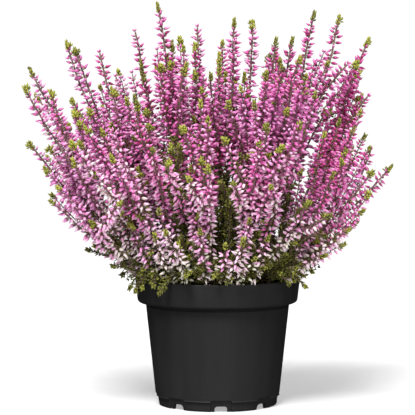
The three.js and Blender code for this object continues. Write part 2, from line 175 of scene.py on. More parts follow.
@dataclass(frozen=True)
class GrowthPlan:
    """Where every stem stands, which way it goes and how the stems are bent clear of each other.

    A spray is its leading spike and then its side spikes. A tuft is its bearing and then its shoots, each
    how far out it ends, how high, and how many degrees it turns from the bearing.
    """

    samples: int = 24
    collar_height: float = 90.0
    foot_share: float = 0.3
    foot_most: float = 41.0
    foot_tuft: float = 48.6
    feet_apart: float = 5.6
    bend_across: float = 0.56
    bend_rise: float = 0.42
    branch_at: float = 0.42
    branch_step: float = 0.1
    branch_lead: float = 0.4
    over_at: float = 0.55
    over_rise: float = 8.0
    droop_rise: float = 0.9
    droop_above_rim: float = 2.0
    pot_height: float = 92.0
    rim_inner: float = 57.0
    rim_outer: float = 60.0
    foot_rounds: int = 30
    rounds: int = 60
    look_within: float = 30.0
    least_apart: float = 0.01
    push: float = 0.28
    spring: float = 0.04
    own_share: float = 0.5
    next_share: float = 0.25
    free_from: int = 3
    room_bud: float = 4.6
    room_stem: float = 2.2
    room_leaf: float = 3.0
    room_at_rim: float = 0.7
    rim_gap: float = 1.2
    sprays: tuple[tuple[SpikeRow, ...], ...] = (
        # the fan on the left
        ((-135, -66, 230, 74, 7), (-118, -50, 227, 44, 7)),
        ((-133, -35, 244, 74, 7), (-132, -5, 225, 44, 7)),
        ((-111, 10, 265, 86, 7), (-86, 40, 216, 44, 7)),
        ((-101, -30, 259, 80, 7), (-90, -47, 214, 44, 7)),
        ((-88, 35, 255, 80, 0),),
        ((-73, -5, 226, 68, 7), (-75, -22, 203, 38, 7)),
        ((-63, -45, 223, 68, 7), (-49, -70, 202, 44, 7)),
        ((-80, -70, 200, 62, 7), (-87, -80, 169, 38, 7)),
        ((-134, -42, 191, 56, 7), (-94, -30, 179, 38, 7)),
        ((-118, -55, 151, 44, 6), (-66, -95, 149, 38, 6)),
        # the tall spikes in the middle
        ((-61, 45, 271, 92, 0), (-56, 30, 249, 44, 18)),
        ((-43, 0, 291, 98, 8), (-34, 20, 264, 50, 11)),
        ((-41, -30, 246, 80, 7), (-22, -40, 247, 50, 11)),
        ((-15, 35, 275, 92, 0), (-3, 55, 220, 44, 7)),
        ((-17, 0, 263, 80, 8),),
        ((1, -30, 255, 74, 18), (-5, -60, 238, 50, 7)),
        ((12, -8, 279, 92, 8),),
        ((28, 30, 280, 92, 8),),
        ((34, -50, 240, 74, 8), (7, -80, 216, 44, 8)),
        # the tall spikes on the right
        ((43, 0, 265, 86, 8), (59, -35, 252, 50, 7)),
        ((57, 50, 269, 86, 8), (48, 75, 251, 50, 7)),
        ((72, 15, 286, 98, 8), (93, -5, 247, 50, 0)),
        ((92, 50, 284, 98, 8), (108, 60, 243, 50, 6)),
        ((110, 30, 266, 86, 8), (110, 3, 223, 44, 0)),
        ((134, 74, 171, 62, 8), (114, 40, 183, 50, 0)),
        ((112, -20, 170, 62, 7), (86, -55, 178, 44, 7)),
        # the front
        ((51, -60, 232, 68, 0), (47, -80, 213, 44, 7)),
        ((56, -90, 203, 62, 7), (36, -105, 154, 38, 7)),
        ((-58, -75, 223, 68, 13), (-44, -105, 181, 38, 7)),
        ((-12, -85, 217, 68, 7), (-25, -98, 197, 38, 7)),
        ((34, -100, 198, 62, 7), (3, -107, 185, 38, 7)),
        ((24, -75, 184, 50, 7), (10, -114, 154, 38, 7)),
        ((-10, -90, 177, 44, 7), (-20, -112, 160, 32, 7)),
        ((-33, -60, 189, 50, 7), (-34, -114, 170, 38, 7)),
        ((16, -95, 120, 26, 7),),
        ((62, -70, 150, 38, 7), (80, -62, 141, 32, 7)),
        # the back
        ((-110, 62, 222, 68, 7), (-97, 84, 188, 38, 7)),
        ((-78, 84, 236, 74, 0), (-60, 102, 200, 44, 7)),
        ((-38, 92, 250, 80, 7), (-20, 112, 206, 44, 0)),
        ((4, 82, 262, 86, 7), (14, 112, 218, 44, 7)),
        ((36, 104, 228, 68, 7), (30, 116, 178, 38, 7)),
        ((76, 86, 247, 80, 0), (66, 108, 199, 44, 7)),
        ((108, 82, 214, 68, 7), (94, 96, 168, 38, 7)),
        ((-126, 40, 186, 56, 7), (-112, 66, 158, 38, 7)),
        ((-58, 108, 156, 44, 7), (-26, 116, 160, 38, 7)),
        ((56, 112, 152, 44, 7), (8, 117, 160, 38, 7)),
    )
    tufts: tuple[tuple, ...] = (
        (-148, (86, 116, -10), (72, 86, 4), (70, 90, 18), (66, 112, 10)),
        (-116, (70, 86, -10), (72, 98, 8), (68, 122, 2), (62, 108, 16)),
        (-80, (74, 112, 0), (70, 98, -12), (64, 118, 12)),
        (-44, (92, 124, 10), (72, 92, -2), (71, 88, 16), (66, 104, -16)),
        (-10, (86, 116, 6), (72, 98, -8), (66, 120, -16)),
        (26, (80, 112, 0), (70, 92, 12), (64, 120, -12)),
        (50, (78, 116, -4), (70, 90, 8), (64, 108, -14)),
        (86, (76, 112, 6), (70, 96, -8), (64, 120, 14)),
        (128, (80, 116, -6), (70, 90, 8), (64, 112, -16)),
        (172, (84, 112, 0), (70, 94, 12), (66, 120, -12)),
    )

    def chains(self) -> list[Chain]:
        """Grows every chain of the plant and settles each clear of the others.

        Returns:
            The chains, the sprays' first.
        """
        grown: list[Chain] = []
        for number, row in enumerate(self.sprays):
            grown += self._spray(row, number)
        for number, row in enumerate(self.tufts, start=len(self.sprays)):
            grown += self._tuft(row, number)
        self._spread_feet(grown)
        self._settle(grown)
        return grown

    def _spray(self, row: tuple[SpikeRow, ...], number: int) -> list[Chain]:
        """Grows one spray.

        Args:
            row: the spray's spikes, its leader first.
            number: the spray's number.

        Returns:
            Its chains, in the same order.
        """
        x, y, z, in_bud, leafy_tip = row[0]
        foot = np.array([x, y], float) * self.foot_share
        foot *= min(1.0, self.foot_most / np.linalg.norm(foot))
        collar = np.array([*foot, self.collar_height])
        tip = np.array([x, y, z], float)
        share = np.array([self.bend_across, self.bend_across, self.bend_rise])
        line = bend(collar, collar + (tip - collar) * share, tip, self.samples)
        leader = Chain(number, Habit.SPIKE, line, in_bud, leafy_tip, foot)
        chains = [leader]
        for i, (sx, sy, sz, side_in_bud, side_leafy) in enumerate(row[1:]):
            at = round(self.samples * (self.branch_at - self.branch_step * i))
            start = leader.points[at]
            along = leader.points[at + 1] - start
            side_tip = np.array([sx, sy, sz], float)
            lead = self.branch_lead * np.linalg.norm(side_tip - start) / np.linalg.norm(along)
            line = bend(start, start + along * lead, side_tip, self.samples)
            chains.append(Chain(number, Habit.SPIKE, line, side_in_bud, side_leafy, parent=leader, at=at))
        return chains

    def _tuft(self, row: tuple, number: int) -> list[Chain]:
        """Grows one tuft.

        Args:
            row: the tuft's bearing and then its shoots, its leader first.
            number: the tuft's number, counted on from the sprays.

        Returns:
            Its chains, in the same order.
        """
        bearing = math.radians(row[0])
        collar = polar(self.foot_tuft, bearing, self.collar_height)
        foot = collar[:2]
        chains: list[Chain] = []
        for i, (reach, height, turn) in enumerate(row[1:]):
            tip = polar(reach, bearing + math.radians(turn), height)
            over = collar + self.over_at * (tip - collar)
            droop = max(0.0, self.pot_height + self.droop_above_rim - height)
            over[2] = max(collar[2], height) + self.over_rise + self.droop_rise * droop
            leader = chains[0] if chains else None
            start = leader.points[1 + i] if leader else collar
            line = bend(start, over, tip, self.samples)
            chains.append(Chain(number, Habit.LEAFY, line, foot=foot, parent=leader, at=1 + i))
        return chains

    def _spread_feet(self, chains: list[Chain]) -> None:
        """Moves the feet apart where they stand too close in the peat.

        Args:
            chains: every chain, whose points and homes are moved with their feet.
        """
        leaders = [c for c in chains if c.parent is None]
        feet = [c.foot.copy() for c in leaders]
        for _ in range(self.foot_rounds):
            for a, b in permutations(feet, 2):
                apart = math.hypot(*(a - b))
                if apart < self.feet_apart:
                    push = (a - b) * (0.5 * (self.feet_apart - apart) / max(apart, self.least_apart))
                    a += push
                    b -= push
        ease = (1 - np.arange(self.samples + 1) / self.samples) ** 2
        for chain, foot in zip(leaders, feet):
            chain.foot = foot
            shift = np.array([*foot, self.collar_height]) - chain.points[0]
            chain.points = chain.points + ease[:, None] * shift
            chain.home = chain.points.copy()

    def _room(self, chain: Chain) -> Array:
        """How much room a chain takes.

        Args:
            chain: the chain.

        Returns:
            The room at each of its points, in bud, in leaf and as a bare stem.
        """
        k = np.arange(self.samples + 1)
        if chain.habit is Habit.LEAFY:
            return np.where(k < self.free_from, self.room_stem, self.room_leaf)
        from_tip = (1 - k / self.samples) * chain.length()
        in_bud = np.where(from_tip < chain.leafy_tip + chain.in_bud, self.room_bud, self.room_stem)
        return np.where(from_tip < chain.leafy_tip, self.room_leaf, in_bud)

    def _rim_push(self, points: Array, clear: Array) -> Array:
        """How far points are pushed out of the pot's rim band.

        Args:
            points: the points of every chain.
            clear: how far each point has to lie from the band.

        Returns:
            The move of each point.
        """
        out = np.hypot(points[..., 0], points[..., 1])
        away_out = out - np.clip(out, self.rim_inner, self.rim_outer)
        away_up = points[..., 2] - np.minimum(points[..., 2], self.pot_height)
        away = np.hypot(away_out, away_up)
        push = np.where(away < clear, (clear - away) / np.maximum(away, TINY), 0.0)
        outwards = away_out * push / np.maximum(out, TINY)
        moves = np.stack([points[..., 0] * outwards, points[..., 1] * outwards, away_up * push], axis=-1)
        inside = (away < TINY)[..., None]
        return np.where(inside, np.stack([0 * clear, 0 * clear, clear], axis=-1), moves)

    def _settle(self, chains: list[Chain]) -> None:
        """Bends the chains clear of each other and of the rim, with feet held and side shoots on stems.

        Args:
            chains: every chain, whose points are replaced.
        """
        last = self.samples
        for chain in chains:
            chain.room = self._room(chain)
        points = np.stack([c.points for c in chains])
        home = np.stack([c.home for c in chains])
        room = np.stack([c.room for c in chains])
        sprays = np.array([c.spray for c in chains])
        low, high = home.min(axis=1), home.max(axis=1)
        near = []
        for i in range(len(chains)):
            meets = (low < high[i] + self.look_within) & (high > low[i] - self.look_within)
            meets = np.all(meets, axis=1)
            near.append(np.flatnonzero(meets & (sprays != sprays[i])))
        free = np.minimum(1.0, np.arange(last + 1) / self.free_from)[:, None]
        free[0] = 0.0
        ease = ((1 - np.arange(last + 1) / last) ** 2)[:, None]
        for _ in range(self.rounds):
            moves = (home - points) * self.spring
            moves += self._rim_push(points, room * self.room_at_rim + self.rim_gap)
            for i, others in enumerate(near):
                theirs = points[others].reshape(-1, 3)
                between = points[i][:, None, :] - theirs[None, :, :]
                apart = np.linalg.norm(between, axis=2)
                need = room[i][:, None] + room[others].reshape(-1)[None, :]
                share = self.push * (need - apart) / np.maximum(apart, self.least_apart)
                moves[i] += np.einsum("km,kmc->kc", np.where(apart < need, share, 0.0), between)
            following = np.concatenate([moves[:, 1:], moves[:, -1:]], axis=1)
            before = np.concatenate([moves[:, :1], moves[:, :-1]], axis=1)
            moves = self.own_share * moves + self.next_share * before + self.next_share * following
            points += moves * free
            for i, chain in enumerate(chains):
                if chain.parent is not None:
                    parent = next(j for j, c in enumerate(chains) if c is chain.parent)
                    points[i] += ease * (points[parent][chain.at] - points[i][0])
        for chain, line in zip(chains, points):
            chain.points = line


@dataclass
class Route:
    """A smooth line through a chain's points, with a frame carried along it.

    Fine is how many stretches each is cut into. The first frame is turned by the slant, which no stem
    follows.
    """

    knots: Array
    fine: int = 3
    slant: tuple[float, float, float] = (0.31, 0.95, 0.05)
    points: Array = field(init=False)
    marks: Array = field(init=False)
    frames: Array = field(init=False)

    def __post_init__(self) -> None:
        """Works out the fine points, how far along each lies, and its frame."""
        before, after = 2 * self.knots[0] - self.knots[1], 2 * self.knots[-1] - self.knots[-2]
        padded = np.concatenate([[before], self.knots, [after]])
        a, b, c, d = padded[:-3], padded[1:-2], padded[2:-1], padded[3:]
        stretches = []
        for step in range(self.fine):
            t = step / self.fine
            curve = 2 * b + (c - a) * t + (2 * a - 5 * b + 4 * c - d) * t**2
            curve += (3 * b - a - 3 * c + d) * t**3
            stretches.append(0.5 * curve)
        inner = np.stack(stretches, axis=1).reshape(-1, 3)
        self.points = np.concatenate([inner, self.knots[-1:]])
        steps = np.diff(self.points, axis=0)
        self.marks = np.concatenate([[0.0], np.cumsum(np.linalg.norm(steps, axis=1))])
        tangents = np.gradient(self.points, axis=0)
        tangents /= np.linalg.norm(tangents, axis=1)[:, None]
        side = np.cross(tangents[0], self.slant)
        sides = []
        for tangent in tangents:
            side = side - tangent * side.dot(tangent)
            side = side / np.linalg.norm(side)
            sides.append(side)
        sides = np.array(sides)
        self.frames = np.stack([sides, np.cross(tangents, sides), tangents], axis=1)

    @property
    def length(self) -> float:
        """The length of the line."""
        return float(self.marks[-1])

    def at(self, along: Array) -> tuple[Array, Array]:
        """Places along the line.

        Args:
            along: how far along each place lies.

        Returns:
            The places, and for each its two side directions and its heading.
        """
        places = np.stack([np.interp(along, self.marks, self.points[:, i]) for i in range(3)], axis=-1)
        flat = self.frames.reshape(-1, 9)
        frames = np.stack([np.interp(along, self.marks, flat[:, i]) for i in range(9)], axis=-1)
        frames = frames.reshape(-1, 3, 3)
        return places, frames / np.linalg.norm(frames, axis=2)[..., None]


# Small shapes, and the pieces that copies of them make up.


@dataclass(frozen=True)
class Stock:
    """One small shape, ready to be laid out many times, whose vertices know how far along it they lie."""

    points: Array
    corners: Array
    sizes: Array
    finishes: Array
    along: Array

    @classmethod
    def from_bmesh(cls, shape: Shape, finish: Finish | None = None) -> Stock:
        """Takes a shape over from a bmesh, which is freed.

        Args:
            shape: the shape, lying along +Z.
            finish: the finish of all its faces. Without it they keep their own material numbers.

        Returns:
            The shape as a stock.
        """
        if finish is not None:
            for face in shape.faces:
                face.material_index = finish
        bmesh.ops.recalc_face_normals(shape, faces=shape.faces)
        shape.verts.ensure_lookup_table()
        shape.verts.index_update()
        points = np.array([v.co for v in shape.verts])
        corners = np.array([v.index for f in shape.faces for v in f.verts])
        sizes = np.array([len(f.verts) for f in shape.faces])
        finishes = np.array([f.material_index for f in shape.faces])
        shape.free()
        low, high = points[:, 2].min(), points[:, 2].max()
        return cls(points, corners, sizes, finishes, (points[:, 2] - low) / (high - low))


@dataclass
class Cutting:
    """A plant piece in the making: copies of small shapes and lengths of stem, gathered into one mesh."""

    parts: dict[str, list[Array]] = field(default_factory=lambda: defaultdict(list))
    stems: list[tuple[Array, Array]] = field(default_factory=list)
    count: int = 0
    stem_tone: float = 0.5

    def lay(self, stock: Stock, places: Array, axes: Array, scales: Array, tones: Array) -> None:
        """Lays copies of a shape.

        Args:
            stock: the shape.
            places: where each copy's origin goes.
            axes: for each copy, the directions that its X, Y and Z take, as rows.
            scales: each copy's size.
            tones: each copy's tone, from 0 to 1.
        """
        copies = len(places)
        if not copies:
            return
        moved = np.einsum("vi,nij->nvj", stock.points, axes) * scales[:, None, None] + places[:, None, :]
        offsets = self.count + np.arange(copies)[:, None] * len(stock.points)
        self.parts["points"].append(moved.reshape(-1, 3))
        self.parts["corners"].append((stock.corners[None, :] + offsets).reshape(-1))
        for name in ("sizes", "finishes", "along"):
            self.parts[name].append(np.tile(getattr(stock, name), copies))
        self.parts["tone"].append(np.repeat(tones, len(stock.points)))
        self.count += copies * len(stock.points)

    def stem(self, points: Array, radii: Array) -> None:
        """Adds a round stem along points, with a radius at each."""
        self.stems.append((points, radii))

    def _stem_stock(self) -> Stock | None:
        """Makes the stems by way of a curve with a round bevel.

        Returns:
            The stems as one shape, or nothing if the piece has none.
        """
        if not self.stems:
            return None
        curve = bpy.data.curves.new("stems", "CURVE")
        curve.dimensions = "3D"
        curve.bevel_depth = 1.0
        curve.bevel_resolution = 1
        curve.use_fill_caps = True
        curve.twist_mode = "MINIMUM"
        for points, radii in self.stems:
            spline = curve.splines.new("POLY")
            spline.points.add(len(points) - 1)
            spline.points.foreach_set("co", np.column_stack([points, np.ones(len(points))]).ravel())
            spline.points.foreach_set("radius", radii)
        holder = bpy.data.objects.new("stems", curve)
        mesh = bpy.data.meshes.new_from_object(holder)
        shape = bmesh.new()
        shape.from_mesh(mesh)
        bpy.data.objects.remove(holder)
        bpy.data.curves.remove(curve)
        bpy.data.meshes.remove(mesh)
        return Stock.from_bmesh(shape, Finish.BARK)

    def finish(self, name: str, finishes: list[Material]) -> Piece:
        """Makes the piece.

        Args:
            name: its name.
            finishes: its materials, in the order of Finish.

        Returns:
            The object, with its place in its mesh, in metres.
        """
        stems = self._stem_stock()
        if stems is not None:
            self.lay(stems, np.zeros((1, 3)), np.eye(3)[None], np.ones(1), np.full(1, self.stem_tone))
        whole = {part: np.concatenate(rows) for part, rows in self.parts.items()}
        points, sizes = whole["points"] * MM, whole["sizes"]
        mesh = bpy.data.meshes.new(name)
        mesh.vertices.add(len(points))
        mesh.vertices.foreach_set("co", points.ravel())
        mesh.loops.add(len(whole["corners"]))
        mesh.loops.foreach_set("vertex_index", whole["corners"].astype(np.int32))
        mesh.polygons.add(len(sizes))
        starts = np.concatenate([[0], np.cumsum(sizes)[:-1]])
        mesh.polygons.foreach_set("loop_start", starts.astype(np.int32))
        mesh.polygons.foreach_set("material_index", whole["finishes"].astype(np.int32))
        mesh.polygons.foreach_set("use_smooth", np.ones(len(sizes), bool))
        for attribute in ("along", "tone"):
            layer = mesh.attributes.new(attribute, "FLOAT", "POINT")
            layer.data.foreach_set("value", whole[attribute].astype(np.float32))
        mesh.update(calc_edges=True)
        mesh.validate()
        for material in finishes:
            mesh.materials.append(material)
        piece = bpy.data.objects.new(name, mesh)
        bpy.context.scene.collection.objects.link(piece)
        return piece


def spun(profile: list[tuple[float, float]], steps: int) -> Shape:
    """A closed shape turned about Z.

    Args:
        profile: its outline as radius and height, from the axis to the axis.
        steps: how many sides it has.

    Returns:
        The shape.
    """
    shape = bmesh.new()
    verts = [shape.verts.new((radius, 0.0, height)) for radius, height in profile]
    edges = [shape.edges.new(pair) for pair in zip(verts, verts[1:])]
    bmesh.ops.spin(
        shape, geom=verts + edges, cent=(0, 0, 0), axis=(0, 0, 1), dvec=(0, 0, 0), angle=2 * math.pi,
        steps=steps, use_merge=True, use_duplicate=False,
    )
    bmesh.ops.remove_doubles(shape, verts=shape.verts, dist=WELD_GAP)
    bmesh.ops.recalc_face_normals(shape, faces=shape.faces)
    return shape


@dataclass(frozen=True)
class BudShape:
    """A closed bud on its stalk: four folded sepals drawn to a point, in a cup of two bracts."""

    stalk: float = 1.2
    stalk_radius: float = 0.3
    stalk_reach: float = 2.4
    overlap: float = 0.1
    length: float = 6.3
    belly: float = 1.14
    belly_at: float = 2.2
    neck: float = 0.92
    neck_at: float = 3.9
    sides: int = 8
    plain_sides: int = 6
    seam_depth: float = 0.84
    bract_length: float = 1.7
    bract_radius: float = 0.55
    bract_flat: float = 0.55
    bract_turn: float = 0.6
    bract_lean: float = 22.0
    bract_out: float = 0.4
    bract_drop: float = 0.3

    def stock(self, full: bool) -> Stock:
        """The bud as a stock, with its stalk's foot at the origin.

        Args:
            full: with folded sepals and bracts. Without, it has fewer faces, for the inside of the plant.

        Returns:
            The bud.
        """
        foot, point = (0.0, self.stalk - self.overlap), (0.0, self.length)
        outline = [foot, (self.belly, self.belly_at), (self.neck, self.neck_at), point]
        bud = spun(outline, self.sides if full else self.plain_sides)
        for vert in bud.verts:
            sector = round(math.atan2(vert.co.y, vert.co.x) / (2 * math.pi / self.sides))
            if full and sector % 2:
                vert.co.x *= self.seam_depth
                vert.co.y *= self.seam_depth
        for face in bud.faces:
            face.material_index = Finish.SEPAL
        reach = self.stalk_reach * self.stalk
        self._add_spine(bud, Matrix.Identity(4), self.stalk_radius, reach, Finish.BARK)
        lean = Matrix.Rotation(math.radians(self.bract_lean), 4, "Y")
        foot = Matrix.Translation((self.bract_out, 0, self.stalk - self.bract_drop))
        flat = Matrix.Diagonal((self.bract_flat, 1.0, 1.0, 1.0))
        for turn in (self.bract_turn, self.bract_turn + math.pi) if full else ():
            place = Matrix.Rotation(turn, 4, "Z") @ foot @ lean @ flat
            self._add_spine(bud, place, self.bract_radius, self.bract_length, Finish.LEAF)
        return Stock.from_bmesh(bud)

    def _add_spine(self, bud: Shape, place: Matrix, radius: float, length: float, finish: Finish) -> None:
        """Adds a three-sided point: the stalk, or a bract.

        Args:
            bud: the shape that it is added to.
            place: where its foot goes, and its lean.
            radius: its radius at the foot.
            length: its length.
            finish: its finish.
        """
        made = bmesh.ops.create_cone(
            bud, cap_ends=True, segments=3, radius1=radius, radius2=0.0, depth=length,
            matrix=place @ Matrix.Translation((0, 0, length / 2)),
        )
        for face in {f for v in made["verts"] for f in v.link_faces}:
            face.material_index = finish


@dataclass(frozen=True)
class LeafShape:
    """A scale leaf: a slim pointed scale, keeled on its back."""

    length: float = 2.7
    width: float = 1.3
    thickness: float = 0.8
    widest_at: float = 0.38
    sides: int = 3

    def stock(self) -> Stock:
        """Makes the leaf.

        Returns:
            The leaf as a stock, with its foot at the origin and its back to +X.
        """
        widest = (0.5, self.widest_at * self.length)
        leaf = spun([(0.0, 0.0), widest, (0.0, self.length)], self.sides)
        bmesh.ops.scale(leaf, vec=(self.thickness, self.width, 1.0), verts=leaf.verts)
        return Stock.from_bmesh(leaf, Finish.LEAF)


@dataclass(frozen=True)
class NeedleShape:
    """The thin green stem of a short side shoot, drawn to a point."""

    length: float = 1.0
    radius: float = 0.055
    sides: int = 3

    def stock(self) -> Stock:
        """Makes the stem.

        Returns:
            The stem as a stock, with its foot at the origin.
        """
        needle = bmesh.new()
        bmesh.ops.create_cone(
            needle, cap_ends=True, segments=self.sides, radius1=self.radius, radius2=0.0,
            depth=self.length, matrix=Matrix.Translation((0, 0, self.length / 2)),
        )
        return Stock.from_bmesh(needle, Finish.LEAF)


# Finishes.


class Nodes:
    """A tree of nodes in the making."""

    def __init__(self, tree: bpy.types.NodeTree) -> None:
        """Takes the tree that the nodes go into."""
        self.tree = tree

    def add(self, kind: str, values: dict | None = None, **settings: object) -> bpy.types.Node:
        """Adds a node.

        Args:
            kind: its type, without the ShaderNode in front.
            values: its sockets' values, or the sockets that feed them.
            settings: its other settings.

        Returns:
            The node.
        """
        made = self.tree.nodes.new("ShaderNode" + kind)
        for name, value in settings.items():
            setattr(made, name, value)
        for name, value in (values or {}).items():
            self.feed(made.inputs[name], value)
        return made

    def feed(self, socket: Socket, value: object) -> None:
        """Sets a socket, or links it.

        Args:
            socket: the socket.
            value: its value, or another node's output that feeds it.
        """
        if isinstance(value, Socket):
            self.tree.links.new(value, socket)
        else:
            socket.default_value = value

    def spread(
        self, value: object, low: float, high: float, to_low: float, to_high: float, way: str = "LINEAR"
    ) -> Socket:
        """A value carried from one range to another, and held within it."""
        numbers = {"From Min": low, "From Max": high, "To Min": to_low, "To Max": to_high}
        return self.add("MapRange", {"Value": value, **numbers}, interpolation_type=way).outputs["Result"]

    def math(self, operation: str, first: object, second: object) -> Socket:
        """Two values worked together."""
        return self.add("Math", {0: first, 1: second}, operation=operation).outputs[0]


@dataclass(frozen=True)
class Grain:
    """A noise for colour or relief.

    It has how many patches it makes to the metre and its detail. As relief it has a height in metres and a
    strength. Stretched, its patches are drawn out along an axis.
    """

    scale: float
    detail: float = 3.0
    height: float = 0.0
    strength: float = 1.0
    stretch: Colour = (1.0, 1.0, 1.0)


class Recipe(Nodes):
    """A material in the making: a Principled shader and the nodes that feed it."""

    def __init__(self, name: str) -> None:
        """Starts a material with its shader alone.

        Args:
            name: its name.
        """
        self.material = bpy.data.materials.new(name)
        self.material.use_nodes = True
        super().__init__(self.material.node_tree)
        self.shader = self.tree.nodes["Principled BSDF"]

    def attribute(self, name: str) -> Socket:
        """The value of a mesh attribute."""
        return self.add("Attribute", attribute_name=name).outputs["Fac"]

    def place(self) -> Socket:
        """The place in the object, in metres."""
        return self.add("TexCoord").outputs["Object"]

    def noise(self, grain: Grain) -> Socket:
        """A noise from 0 to 1."""
        mapped = self.add("Mapping", {"Vector": self.place(), "Scale": grain.stretch}).outputs["Vector"]
        values = {"Vector": mapped, "Scale": grain.scale, "Detail": grain.detail}
        return self.add("TexNoise", values).outputs["Fac"]

    def ramp(self, value: object, stops: Stops) -> Socket:
        """A colour that follows a value through stops.

        Args:
            value: what it follows.
            stops: each stop's value and colour.

        Returns:
            The colour.
        """
        made = self.add("ValToRGB", {"Fac": value})
        elements = made.color_ramp.elements
        while len(elements) < len(stops):
            elements.new(0.5)
        for element, (position, colour) in zip(elements, stops):
            element.position = position
            element.color = (*colour, 1.0)
        return made.outputs["Color"]

    def mix(self, share: object, first: object, second: object) -> Socket:
        """Two colours mixed.

        Args:
            share: how much of the second colour there is.
            first: the first colour.
            second: the second colour.

        Returns:
            The mixed colour.
        """
        made = self.add("Mix", data_type="RGBA")
        for socket, value in zip((made.inputs[0], made.inputs[6], made.inputs[7]), (share, first, second)):
            self.feed(socket, (*value, 1.0) if isinstance(value, tuple) else value)
        return made.outputs[2]

    def bump(self, relief: Socket, grain: Grain) -> None:
        """Raises the surface by a relief, to a grain's height and strength."""
        values = {"Height": relief, "Distance": grain.height, "Strength": grain.strength}
        self.feed(self.shader.inputs["Normal"], self.add("Bump", values).outputs["Normal"])

    def done(self, **values: object) -> Material:
        """Sets the shader's sockets.

        Args:
            values: each socket's value, under its name with _ for a space.

        Returns:
            The material.
        """
        for name, value in values.items():
            self.feed(self.shader.inputs[name.replace("_", " ")], value)
        return self.material


@dataclass(frozen=True)
class SepalFinish:
    """Papery sepals: cream through pink to magenta by tone, dark at the foot and paler at the point."""

    body: Stops = (
        (0.0, (0.86, 0.84, 0.66)),
        (0.18, (0.88, 0.69, 0.77)),
        (0.4, (0.85, 0.32, 0.61)),
        (0.68, (0.74, 0.085, 0.40)),
        (1.0, (0.42, 0.02, 0.17)),
    )
    point: Stops = (
        (0.0, (0.96, 0.95, 0.86)),
        (0.3, (0.95, 0.75, 0.87)),
        (0.65, (0.92, 0.48, 0.73)),
        (1.0, (0.76, 0.19, 0.49)),
    )
    lilac: Colour = (0.63, 0.24, 0.56)
    # near-black foot: partly the bud's own deep base, partly painted shade where the bud meets its stalk
    foot: Colour = (0.13, 0.012, 0.026)
    green_foot: Colour = (0.42, 0.46, 0.12)
    patches: Grain = Grain(420.0)
    patch_share: Spread = (0.3, 0.7, -0.08, 0.08)
    clouds: Grain = Grain(16.0, 1.0)
    lilac_share: Spread = (0.45, 0.7, 0.0, 0.55)
    point_share: Spread = (0.45, 1.0, 0.0, 0.85)
    shaded_foot_share: Spread = (0.15, 0.4, 0.0, 1.0)
    foot_share: Spread = (0.2, 0.45, 0.85, 0.0)
    creases: Grain = Grain(1500.0, 2.0, 0.00012, 0.6)
    roughness: float = 0.6
    gloss: float = 0.25

    def material(self) -> Material:
        """Makes the material.

        Returns:
            The material.
        """
        recipe = Recipe("sepal")
        along, tone = recipe.attribute("along"), recipe.attribute("tone")
        patches = recipe.spread(recipe.noise(self.patches), *self.patch_share)
        tone = recipe.math("ADD", tone, patches)
        to_point = recipe.spread(along, *self.point_share)
        body = recipe.ramp(tone, self.body)
        body = recipe.mix(recipe.spread(recipe.noise(self.clouds), *self.lilac_share), body, self.lilac)
        colour = recipe.mix(to_point, body, recipe.ramp(tone, self.point))
        # the foot: green on pale buds, near-black on deep ones; the near-black is partly painted shade where
        # the bud meets its stalk
        foot = recipe.mix(recipe.spread(tone, *self.shaded_foot_share), self.green_foot, self.foot)
        at_foot = recipe.spread(along, *self.foot_share)
        recipe.bump(recipe.noise(self.creases), self.creases)
        colour = recipe.mix(at_foot, colour, foot)
        return recipe.done(Base_Color=colour, Roughness=self.roughness, Specular_IOR_Level=self.gloss)


@dataclass(frozen=True)
class LeafFinish:
    """Matt scale leaves: dark olive through to fresh yellow-green by tone, paler at their points."""

    body: Stops = (
        (0.0, (0.022, 0.024, 0.008)),
        (0.35, (0.090, 0.092, 0.018)),
        (0.7, (0.225, 0.235, 0.030)),
        (1.0, (0.38, 0.39, 0.050)),
    )
    point: Colour = (0.46, 0.46, 0.12)
    patches: Grain = Grain(300.0)
    patch_share: Spread = (0.3, 0.7, -0.12, 0.12)
    point_share: Spread = (0.5, 1.0, 0.0, 0.5)
    pores: Grain = Grain(2500.0, 2.0, 0.0001, 0.5)
    roughness: float = 0.6
    gloss: float = 0.3

    def material(self) -> Material:
        """Makes the material.

        Returns:
            The material.
        """
        recipe = Recipe("scale_leaf")
        along, tone = recipe.attribute("along"), recipe.attribute("tone")
        patches = recipe.spread(recipe.noise(self.patches), *self.patch_share)
        tone = recipe.math("ADD", tone, patches)
        to_point = recipe.math("MULTIPLY", recipe.spread(along, *self.point_share), tone)
        recipe.bump(recipe.noise(self.pores), self.pores)
        colour = recipe.mix(to_point, recipe.ramp(tone, self.body), self.point)
        return recipe.done(Base_Color=colour, Roughness=self.roughness, Specular_IOR_Level=self.gloss)


@dataclass(frozen=True)
class BarkFinish:
    """Thin woody stems: brown at the foot, mauve-brown further up, streaked along their length."""

    wood: Colour = (0.070, 0.040, 0.026)
    young: Colour = (0.195, 0.098, 0.108)
    pale: Colour = (0.36, 0.25, 0.22)
    young_share: Spread = (0.09, 0.15, 0.0, 1.0)
    streaks: Grain = Grain(700.0, 3.0, 0.0002, 0.8, (1.0, 1.0, 0.25))
    streak_share: Spread = (0.5, 0.8, 0.0, 0.7)
    roughness: float = 0.75
    gloss: float = 0.3

    def material(self) -> Material:
        """Makes the material.

        Returns:
            The material.
        """
        recipe = Recipe("heather_bark")
        height = recipe.add("SeparateXYZ", {"Vector": recipe.place()}).outputs["Z"]
        colour = recipe.mix(recipe.spread(height, *self.young_share), self.wood, self.young)
        streaks = recipe.noise(self.streaks)
        colour = recipe.mix(recipe.spread(streaks, *self.streak_share), colour, self.pale)
        recipe.bump(streaks, self.streaks)
        return recipe.done(Base_Color=colour, Roughness=self.roughness, Specular_IOR_Level=self.gloss)


